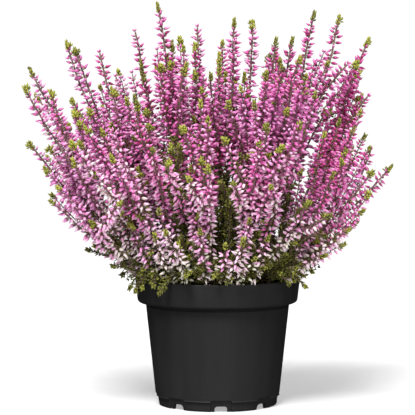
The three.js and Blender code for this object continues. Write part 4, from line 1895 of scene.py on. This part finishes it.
    def _uprights(self) -> None:
        """Upright spikes that rise from the peat: short ones near the rim, and tall ones inside them."""
        draw, peat, spread, grown = self.draw, self.peat_height, self.front_spread, 0
        across, up = self.upright_bend
        for number in range(self.most_tries):
            if grown == self.uprights:
                break
            in_front = number % 5 <= 2
            bearing = -90 + draw.uniform(-spread, spread) if in_front else self.golden_turn * number
            bearing = math.radians(bearing)
            inner = number % 6 == 5
            habit = self.inner_upright if inner else self.outer_upright
            foot, out = draw.uniform(*habit.feet), draw.uniform(*habit.leans)
            height = draw.uniform(*habit.heights)
            aside = self._turned(bearing, self.upright_turn)
            start, tip = polar(foot, bearing, peat), polar(foot + out, aside, height)
            bent = start + across * (tip - start)
            bent[2] = peat + up * (height - peat)
            route = Route(bend(start, bent, tip, self.long_samples))
            if not (self.envelope.clears_rim(route.points) and self.envelope.leaves_gaps(route.points)):
                continue
            leafy = float(draw.choice(self.upright_leafy))
            bare = route.marks[np.argmax(route.points[:, 2] > self.bare_below)]
            in_bud, seed = route.length - leafy - bare, Seed.UPRIGHT + number
            shoot = Shoot(route, Habit.SPIKE, in_bud, leafy, *self.spike_radii, seed, inner=inner)
            self._add_from_peat(shoot, start)
            grown += 1

    def _low_spikes(self) -> None:
        """The lowest flower spikes, which arch over the rim."""
        for number, (reach, height, bearing) in enumerate(self.low_spikes):
            away = math.radians(bearing)
            start, over = (polar(out, away, up) for out, up in (self.low_foot, self.low_over))
            route = Route(bend(start, over, polar(reach, away, height), self.long_samples))
            in_bud, seed = route.length - self.low_bare, Seed.LOW_SPIKE + number
            shoot = Shoot(route, Habit.SPIKE, in_bud, self.low_leafy, *self.spike_radii, seed)
            self._add_from_peat(shoot, start)

    def _inner_shoots(self) -> None:
        """Leafy shoots without flowers, up the middle of the plant."""
        draw, parents, grown = self.draw, self.parents, 0
        most_out, most_up = self.leafy_within
        while grown < self.leafy:
            parent = parents[draw.integers(len(parents))]
            start = parent.points[int((len(parent.points) - 1) * draw.uniform(*self.leafy_starts))]
            aside = draw.uniform(-self.leafy_aside, self.leafy_aside, 2)
            across = start[:2] * self.leafy_spread + aside
            tip = np.array([*across, start[2] + draw.uniform(*self.leafy_rises)])
            line = bend(start, 0.5 * (start + tip) + self.leafy_bulge * UP, tip, self.samples)
            kept_in = math.hypot(tip[0], tip[1]) < most_out and tip[2] < most_up
            if kept_in and self.envelope.clears_rim(line):
                self._add_leafy(parent, Route(line), self.shoot_radii, Seed.INNER_SHOOT + grown)
                grown += 1

    def _tuft_shoots(self) -> None:
        """More leafy shoots for each tuft, standing up and arching over the rim."""
        least, more = self.tuft_heights
        bulge, further = self.tuft_bulge
        for tuft in self.tufts:
            start = tuft.points[1]
            bearing = math.atan2(start[1], start[0])
            for number in range(self.tuft_shoots):
                away, reach = self._turned(bearing, self.tuft_turn), self.draw.uniform(*self.tuft_reaches)
                past = max(0.0, reach - self.past_rim)
                tip = polar(reach, away, least + self.tuft_rise * past + self.draw.uniform(0, more))
                over = 0.5 * (start + tip) + (bulge + further * past) * UP
                route = Route(bend(start, over, tip, self.samples))
                if self.envelope.clears_rim(route.points):
                    seed = Seed.TUFT_SHOOT + self.seeds_a_tuft * tuft.spray + number
                    self._add_leafy(tuft, route, self.shoot_radii, seed)

    def _sprigs(self) -> None:
        """Short leafy sprigs that rise from the peat round each tuft and lean over the rim."""
        draw, (bulge, further) = self.draw, self.sprig_bulge
        for tuft in self.tufts:
            bearing = math.atan2(tuft.foot[1], tuft.foot[0])
            for number in range(self.sprigs):
                away = self._turned(bearing, self.sprig_turn)
                foot, reach = draw.uniform(*self.sprig_feet), draw.uniform(*self.sprig_reaches)
                past = max(0.0, reach - self.past_rim)
                height = draw.uniform(*self.sprig_heights) + self.sprig_rise * past
                aside = self._turned(away, self.sprig_tip_turn)
                start, tip = polar(foot, away, self.peat_height), polar(reach, aside, height)
                over = 0.5 * (start + tip) + (bulge + further * max(0.0, reach - self.sprig_past)) * UP
                route = Route(bend(start, over, tip, self.sprig_samples))
                if self.envelope.clears_rim(route.points):
                    seed = Seed.SPRIG + self.seeds_a_tuft * tuft.spray + number
                    self._add_leafy(tuft, route, self.sprig_radii, seed)

    def _long_twigs(self) -> None:
        """The leafy twigs that reach furthest out, hang over the rim or stand inside the plant."""
        steep, level = self.twig_droop
        for number, (tuft, reach, height, bearing) in enumerate(self.twigs):
            start, tip = self.tufts[tuft].points[1], polar(reach, math.radians(bearing), height)
            over = 0.5 * (start + tip)
            over[2] = max(over[2] + self.twig_bulge, self.twig_over + steep * max(0.0, level - height))
            route = Route(bend(start, over, tip, self.long_samples))
            self._add_leafy(self.tufts[tuft], route, self.shoot_radii, Seed.TWIG + number)


@dataclass
class Plant:
    """All the sprays and tufts of the heather."""

    plan: GrowthPlan = field(default_factory=GrowthPlan)
    envelope: Envelope = field(default_factory=Envelope)
    sway: Sway = field(default_factory=Sway)
    bud: BudShape = BudShape()
    leaf: LeafShape = LeafShape()
    old_leaf: LeafShape = LeafShape(length=3.2, width=1.65, thickness=1.0)
    fresh_leaf: LeafShape = LeafShape(length=3.4, width=2.2, thickness=1.5, widest_at=0.5, sides=4)
    stem_radius: float = 0.95
    side_radius: float = 0.8
    tip_radius: float = 0.62
    more_in_bud: float = 18.0
    seen_from: float = 46.0
    bud_height: float = 99.0

    def build(self) -> list[tuple[Piece, str, str]]:
        """Makes every plant piece.

        Returns:
            Each piece with the node that it stands for and its slot.
        """
        chains = self.plan.chains()
        for chain in chains:
            chain.points = self.sway.moved(chain.points)
        gardener = Gardener(
            self.bud.stock(full=True), self.bud.stock(full=False), self.leaf.stock(), self.old_leaf.stock(),
            self.fresh_leaf.stock(), NeedleShape().stock(), self.envelope,
        )
        finishes = [BarkFinish().material(), SepalFinish().material(), LeafFinish().material()]
        low, high = (np.array(corner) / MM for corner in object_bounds())
        extra = Filler(low, high, self.envelope).shoots(chains)
        made = []
        sprays = len(self.plan.sprays)
        for spray in range(sprays + len(self.plan.tufts)):
            shoots = [self._shoot(c, number) for number, c in enumerate(chains) if c.spray == spray]
            shoots += [shoot for owner, shoot in extra if owner == spray]
            cutting = Cutting()
            for shoot in shoots:
                gardener.dress(cutting, shoot)
            if spray < sprays:
                node, slot = f"flower_spray_{spray + 1:02d}", "blossom"
            else:
                node, slot = f"leafy_tuft_{spray - sprays + 1:02d}", "foliage"
            made.append((cutting.finish(f"{node}_grown", finishes), node, slot))
        return made

    def _shoot(self, chain: Chain, number: int) -> Shoot:
        """The shoot that a chain stands for, in bud wherever it can be seen.

        Args:
            chain: the chain.
            number: its number, for its random numbers.

        Returns:
            The shoot.
        """
        rooted = chain.parent is None
        foot = self.stem_radius if rooted else self.side_radius
        route = Route(chain.points)
        in_bud = chain.in_bud + self.more_in_bud
        out = np.hypot(route.points[:, 0], route.points[:, 1])
        seen = (out > self.seen_from) & (route.points[:, 2] > self.bud_height)
        if seen.any():
            in_bud = max(in_bud, route.length - chain.leafy_tip - route.marks[np.argmax(seen)])
        seed = Seed.OWN + number
        return Shoot(route, chain.habit, in_bud, chain.leafy_tip, foot, self.tip_radius, seed, rooted)


# Pot and peat.


def piece_from(shape: Shape, name: str, material: Material) -> Piece:
    """Makes a piece of a bmesh in millimetres, which is freed.

    Args:
        shape: the shape.
        name: the piece's name.
        material: its material.

    Returns:
        The object, with its place in its mesh, in metres.
    """
    bmesh.ops.scale(shape, vec=(MM, MM, MM), verts=shape.verts)
    mesh = bpy.data.meshes.new(name)
    shape.to_mesh(mesh)
    shape.free()
    mesh.polygons.foreach_set("use_smooth", np.ones(len(mesh.polygons), bool))
    mesh.materials.append(material)
    piece = bpy.data.objects.new(name, mesh)
    bpy.context.scene.collection.objects.link(piece)
    return piece


def with_modifiers(piece: Piece) -> None:
    """Works a piece's modifiers into its mesh and removes them.

    Args:
        piece: the piece.
    """
    depsgraph = bpy.context.evaluated_depsgraph_get()
    mesh = bpy.data.meshes.new_from_object(piece.evaluated_get(depsgraph))
    old = piece.data
    mesh.name = old.name
    piece.modifiers.clear()
    piece.data = mesh
    bpy.data.meshes.remove(old)


@dataclass
class Pot:
    """The moulded pot: stepped rim band, tapered body, and a base ring cut by drain notches."""

    height: float
    rim_radius: float
    band_radius: float = 58.3
    band_height: float = 14.0
    shoulder_drop: float = 4.4
    shoulder_radius: float = 52.4
    body_foot_radius: float = 45.1
    body_foot_height: float = 9.0
    step_height: float = 7.3
    lip: float = 0.35
    slope_in: float = 0.3
    slope_end: float = 1.6
    rises: tuple[float, ...] = (1.6, 2.4, 4.0, 12.0, 40.0)
    ring_radius: float = 43.5
    ring_width: float = 3.6
    wall: float = 1.3
    floor_under: float = 4.9
    notch_width: float = 9.0
    notch_height: float = 4.0
    recess_width: float = 19.5
    recess_depth: float = 2.8
    recess_height: float = 8.6
    recess_slope: float = 3.2
    recess_flare: float = 2.2
    notches: int = 8
    cut_depth: float = 9.0
    cut_under: float = 2.0
    cut_round: float = 2.0
    cut_round_steps: int = 4
    inner_within: float = 1.0
    nearly_along: float = 0.9
    turn: float = 3.0
    steps: int = 144
    sharp_angle: float = math.radians(32)

    def outline(self) -> list[tuple[float, float]]:
        """Draws the pot's section.

        Each row of corners has the radius and the height where two edges meet, and then how far out and up
        from there the rounding starts, bends and ends.

        Returns:
            Its points as radius and height, from the axis up the outside and back in.
        """
        ring, foot, waist = self.ring_radius, self.body_foot_radius, self.shoulder_radius
        band, rim, wall, lip, step = self.band_radius, self.rim_radius, self.wall, self.lip, self.step_height
        inside, floor = ring - self.ring_width, self.floor_under + wall
        band_foot = self.height - self.band_height
        shoulder = band_foot - self.shoulder_drop
        points = [(0.0, self.floor_under), (inside - 0.4, self.floor_under)]
        points += corners(
            (inside, 0.0, (0.0, 0.6), (0.0, 0.0), (0.6, 0.0)),
            (ring, 0.0, (-1.8, 0.0), (0.0, 0.0), (0.05, 1.8), 4),
            (ring, 0.0, (0.2, 4.2), (0.25, 5.6), (foot - ring - 0.4, step - 0.5)),
            (foot, step, (0.5 * lip, -0.3), (lip, -0.25), (lip, 0.0)),
            (foot, step, (0.1, 0.35), (0.0, 0.5), (0.05, 0.9)),
        )
        slope = (waist - self.slope_in - foot) / (shoulder - self.slope_end - step)
        points += [(foot + slope * rise, step + rise) for rise in self.rises]
        points += [(waist - self.slope_in, shoulder - self.slope_end)]
        points += corners(
            (waist, shoulder, (-0.9, -0.7), (-1.0, -0.1), (-0.2, 0.0)),
            (band, shoulder, (-2.6, 0.8), (-0.2, 1.3), (0.0, 3.4), 6),
            (rim, self.height, (-0.05, -0.9), (0.0, 0.0), (-0.65, 0.0)),
            (rim, self.height, (-0.75, 0.0), (-wall, 0.0), (-wall, -0.8)),
            (band - wall, band_foot, (0.0, 2.0), (0.0, 0.4), (-1.6, -0.5)),
            (waist - wall, shoulder, (1.6, wall + 0.7), (0.0, wall), (0.0, 0.0)),
            (foot - wall, floor, (0.0, self.body_foot_height + 1 - floor), (-0.6, 0.0), (-4.0, 0.0)),
        )
        return [*points, (0.0, floor)]

    def build(self, material: Material) -> Piece:
        """Makes the pot.

        Args:
            material: its material.

        Returns:
            The pot.
        """
        pot = piece_from(spun(self.outline(), self.steps), "pot_moulded", material)
        notch = (self.ring_radius - 2 * self.ring_width, self.notch_width, self.notch_height, 0.0, 0.0)
        recess = (
            self.ring_radius - self.recess_depth, self.recess_width, self.recess_height, self.recess_slope,
            self.recess_flare,
        )
        for size in (recess, notch):
            cutter = piece_from(self._blocks(*size), "cutter", material)
            cut = pot.modifiers.new("cut", "BOOLEAN")
            cut.operation = "DIFFERENCE"
            cut.solver = "EXACT"
            cut.object = cutter
            with_modifiers(pot)
            bpy.data.objects.remove(cutter)
        pot.data.set_sharp_from_angle(angle=self.sharp_angle)
        return pot

    def _blocks(self, radius: float, width: float, height: float, slope: float, flare: float) -> Shape:
        """Blocks that cut the notches, reaching out from a radius.

        Args:
            radius: how far from the axis its inner face stands.
            width: its width.
            height: how far up it reaches.
            slope: how much further out its inner face stands at the top.
            flare: how much narrower its inner face is at each side.

        Returns:
            All the blocks.
        """
        blocks = bmesh.new()
        for number in range(self.notches):
            bearing = math.radians(-90 + self.turn + number * 360 / self.notches)
            outwards = Vector((math.cos(bearing), math.sin(bearing), 0))
            middle = (radius + self.cut_depth / 2, 0, height / 2 - self.cut_under / 2)
            place = Matrix.Rotation(bearing, 4, "Z") @ Matrix.Translation(middle)
            size = Matrix.Diagonal((self.cut_depth, width, height + self.cut_under, 1))
            made = bmesh.ops.create_cube(blocks, size=1.0, matrix=place @ size)
            edges = dict.fromkeys(e for v in made["verts"] for e in v.link_edges)
            tops = [e for e in edges if all(v.co.z > 0 for v in e.verts)]
            across = Vector((-outwards.y, outwards.x, 0))
            for vert in (v for v in made["verts"] if v.co.dot(outwards) < radius + self.inner_within):
                vert.co -= math.copysign(flare, vert.co.dot(across)) * across
                if vert.co.z > 0:
                    vert.co += slope * outwards
            ways = {e: (e.verts[0].co - e.verts[1].co).normalized() for e in tops}
            sides = [e for e in tops if abs(ways[e].dot(outwards)) > self.nearly_along]
            bmesh.ops.bevel(
                blocks, geom=sides, offset=self.cut_round, segments=self.cut_round_steps, affect="EDGES",
                profile=0.5, material=-1,
            )
        return blocks


def corners(*rows: tuple) -> list[tuple[float, float]]:
    """The points round rounded corners.

    Args:
        rows: for each, the radius and the height where two edges meet, how far from there the rounding
            starts, bends and ends, and how many stretches it has, if not three.

    Returns:
        The points as radius and height.
    """
    points = []
    for radius, height, start, bent, end, *steps in rows:
        ways = (np.array([radius, height]) + way for way in (start, bent, end))
        points += [(float(r), float(z)) for r, z in bend(*ways, steps[0] if steps else 3)]
    return points


@dataclass
class Peat:
    """The peat that fills the pot, with a crumbly surface.

    Each roughness is how quickly it changes from place to place, how high it goes, and a level that keeps
    it apart from the others. It fades out towards the wall, by how much for each share of the radius.
    """

    wall_height: float = 84.0
    middle_height: float = 86.5
    radius: float = 56.8
    foot_radius: float = 50.0
    depth: float = 12.0
    foot_slope: float = 4.0
    rings: int = 44
    sides: int = 132
    roughness: tuple[Colour, ...] = ((0.5, 0.7, 7.0), (1.3, 0.35, 1.0), (0.12, 1.1, 3.0))
    fades_at: float = 1.02
    fades_by: float = 6.0
    surface_within: float = 0.1
    crumbs: int = 420
    crumbs_inside: float = 2.0
    crumb_sizes: Range = (0.4, 1.3)
    crumb_widths: Range = (0.6, 1.0)
    crumb_heights: Range = (0.5, 0.9)
    crumb_turns: Range = (6.28, 3.0)
    crumb_rise: float = 0.2
    seed: int = 11

    def surface(self, x: float, y: float) -> float:
        """The height of the peat.

        Args:
            x: where across the pot.
            y: where from front to back.

        Returns:
            The height there.
        """
        out = math.hypot(x, y) / self.radius
        mound = self.wall_height + (self.middle_height - self.wall_height) * (1 - out * out)
        rough = sum(noise.noise(Vector((x * k, y * k, level))) * high for k, high, level in self.roughness)
        return mound + rough * min(1.0, self.fades_by * max(0.0, self.fades_at - out))

    def build(self, material: Material) -> Piece:
        """Makes the peat.

        Args:
            material: its material.

        Returns:
            The peat.
        """
        foot = self.wall_height - self.depth
        outline = [(0.0, foot), (self.foot_radius, foot), (self.radius, self.wall_height - self.foot_slope)]
        outline += [(self.radius * (1 - i / self.rings), self.wall_height) for i in range(self.rings)]
        outline.append((0.0, self.wall_height))
        shape = spun(outline, self.sides)
        for vert in shape.verts:
            if vert.co.z > self.wall_height - self.surface_within:
                vert.co.z = self.surface(vert.co.x, vert.co.y)
        self._scatter(shape)
        return piece_from(shape, "peat_crumb", material)

    def _scatter(self, shape: Shape) -> None:
        """Strews small crumbs over the surface.

        Args:
            shape: the peat, which they are added to.
        """
        draw = random.Random(self.seed)
        for _ in range(self.crumbs):
            out = (self.radius - self.crumbs_inside) * math.sqrt(draw.random())
            angle = draw.uniform(0, 2 * math.pi)
            x, y = out * math.cos(angle), out * math.sin(angle)
            size = draw.uniform(*self.crumb_sizes)
            about, over = (draw.uniform(0, most) for most in self.crumb_turns)
            width, height = (draw.uniform(*shares) for shares in (self.crumb_widths, self.crumb_heights))
            turn = Matrix.Rotation(about, 4, "Z") @ Matrix.Rotation(over, 4, "X")
            stretch = Matrix.Diagonal((size, size * width, size * height, 1))
            place = Matrix.Translation((x, y, self.surface(x, y) + self.crumb_rise * size)) @ turn @ stretch
            bmesh.ops.create_icosphere(shape, subdivisions=1, radius=1.0, matrix=place)


# The studio.


@dataclass(frozen=True)
class Lamp:
    """A soft far light.

    It has its name, its strength and how wide it looks from the plant. It stands so far above the floor and
    so far to the right of the front. All its angles are in degrees.
    """

    name: str
    strength: float
    angle: float
    elevation: float
    azimuth: float

    def build(self) -> None:
        """Adds the light to the scene."""
        data = bpy.data.lights.new(self.name, "SUN")
        data.energy = self.strength
        data.angle = math.radians(self.angle)
        lamp = bpy.data.objects.new(self.name, data)
        up, aside = math.radians(self.elevation), math.radians(self.azimuth)
        source = Vector((math.sin(aside) * math.cos(up), -math.cos(aside) * math.cos(up), math.sin(up)))
        lamp.rotation_euler = source.to_track_quat("Z", "Y").to_euler()
        bpy.context.scene.collection.objects.link(lamp)


@dataclass(frozen=True)
class Studio:
    """A plain pale floor, soft light from the front and above, and a long lens at the plant's height."""

    camera_distance: float = 1.425
    camera_height: float = 0.223
    aim_height: float = 0.1431
    aside: float = -0.0073
    seen_width: float = 0.3011
    seen_from: float = 0.05
    seen_to: float = 60.0
    sensor: float = 36.0
    floor_size: float = 3.0
    floor_colour: Colour = (0.55, 0.55, 0.55)
    floor_roughness: float = 0.9
    floor_gloss: float = 0.1
    floor_glow: float = 0.40
    white: Colour = (1.0, 1.0, 1.0)
    lamps: tuple[Lamp, ...] = (Lamp("key", 4.3, 22.0, 55.0, -17.0), Lamp("fill", 0.75, 40.0, 24.0, 24.0))
    front_light: Spread = (-0.3, -1.0, 0.0, 0.36)
    top_light: Spread = (0.1, 1.0, 0.0, 0.30)
    light_all_round: float = 0.03
    white_strength: float = 1.05

    def build(self) -> None:
        """Makes the camera, the lights, the floor and the background."""
        self._camera()
        self._floor()
        for lamp in self.lamps:
            lamp.build()
        self._background()
        settings = bpy.context.scene.view_settings
        settings.view_transform = "Standard"
        settings.look = "None"

    def _camera(self) -> None:
        """A camera square to the front, looking a little down."""
        data = bpy.data.cameras.new("camera")
        data.sensor_width = self.sensor
        data.lens = self.sensor * self.camera_distance / self.seen_width
        data.clip_start, data.clip_end = self.seen_from, self.seen_to
        camera = bpy.data.objects.new("camera", data)
        camera.location = (self.aside, -self.camera_distance, self.camera_height)
        target = Vector((self.aside, 0.0, self.aim_height))
        camera.rotation_euler = (target - camera.location).to_track_quat("-Z", "Y").to_euler()
        bpy.context.scene.collection.objects.link(camera)
        bpy.context.scene.camera = camera

    def _floor(self) -> None:
        """A wide pale floor."""
        shape = bmesh.new()
        bmesh.ops.create_grid(shape, x_segments=1, y_segments=1, size=self.floor_size / MM / 2)
        pale = Recipe("studio_floor").done(
            Base_Color=(*self.floor_colour, 1.0), Roughness=self.floor_roughness,
            Specular_IOR_Level=self.floor_gloss, Emission_Color=(*self.white, 1.0),
            Emission_Strength=self.floor_glow,
        )
        floor = piece_from(shape, "studio_floor", pale)
        floor.visible_glossy = False
        floor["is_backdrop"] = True

    def _background(self) -> None:
        """White behind the object. Round it, light from the front and above, and little from the sides."""
        world = bpy.data.worlds.new("studio")
        bpy.context.scene.world = world
        world.use_nodes = True
        world.node_tree.nodes.clear()
        nodes, white = Nodes(world.node_tree), (*self.white, 1.0)
        way = nodes.add("SeparateXYZ", {"Vector": nodes.add("TexCoord").outputs["Generated"]}).outputs
        front = nodes.spread(way["Y"], *self.front_light, way="SMOOTHSTEP")
        above = nodes.spread(way["Z"], *self.top_light, way="SMOOTHSTEP")
        glow = nodes.math("ADD", nodes.math("ADD", front, above), self.light_all_round)
        lit = nodes.add("Background", {"Color": white, "Strength": glow}).outputs[0]
        seen = nodes.add("Background", {"Color": white, "Strength": self.white_strength}).outputs[0]
        to_camera = nodes.add("LightPath").outputs["Is Camera Ray"]
        both = nodes.add("MixShader", {0: to_camera, 1: lit, 2: seen}).outputs[0]
        nodes.add("OutputWorld", {"Surface": both})


def triangles(piece: Piece) -> int:
    """How many triangles a piece has."""
    return len(piece.data.loops) - 2 * len(piece.data.polygons)


def add_piece(piece: Piece, node: str, slot: str) -> int:
    """Puts a piece on the body in the place of its node.

    Args:
        piece: the piece.
        node: the node that it stands for.
        slot: its slot; not used.

    Returns:
        How many triangles it has.
    """
    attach(piece, "root")
    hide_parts(node)
    LOG.info("%s: %d triangles", piece.name, triangles(piece))
    return triangles(piece)


def main() -> None:
    """Builds the studio, the pot, the peat and the plant."""
    logging.basicConfig(level=logging.INFO, format="%(name)s: %(message)s")
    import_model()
    Studio().build()
    low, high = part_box("pot")
    pot = Pot(height=(high[2] - low[2]) / MM, rim_radius=(high[0] - low[0]) / MM / 2)
    total = add_piece(pot.build(PotFinish().material()), "pot", "pot")
    total += add_piece(Peat().build(PeatFinish().material()), "soil", "soil")
    total += sum(add_piece(*made) for made in Plant().build())
    LOG.info("in all: %d triangles", total)


if __name__ == "__main__":
    main()
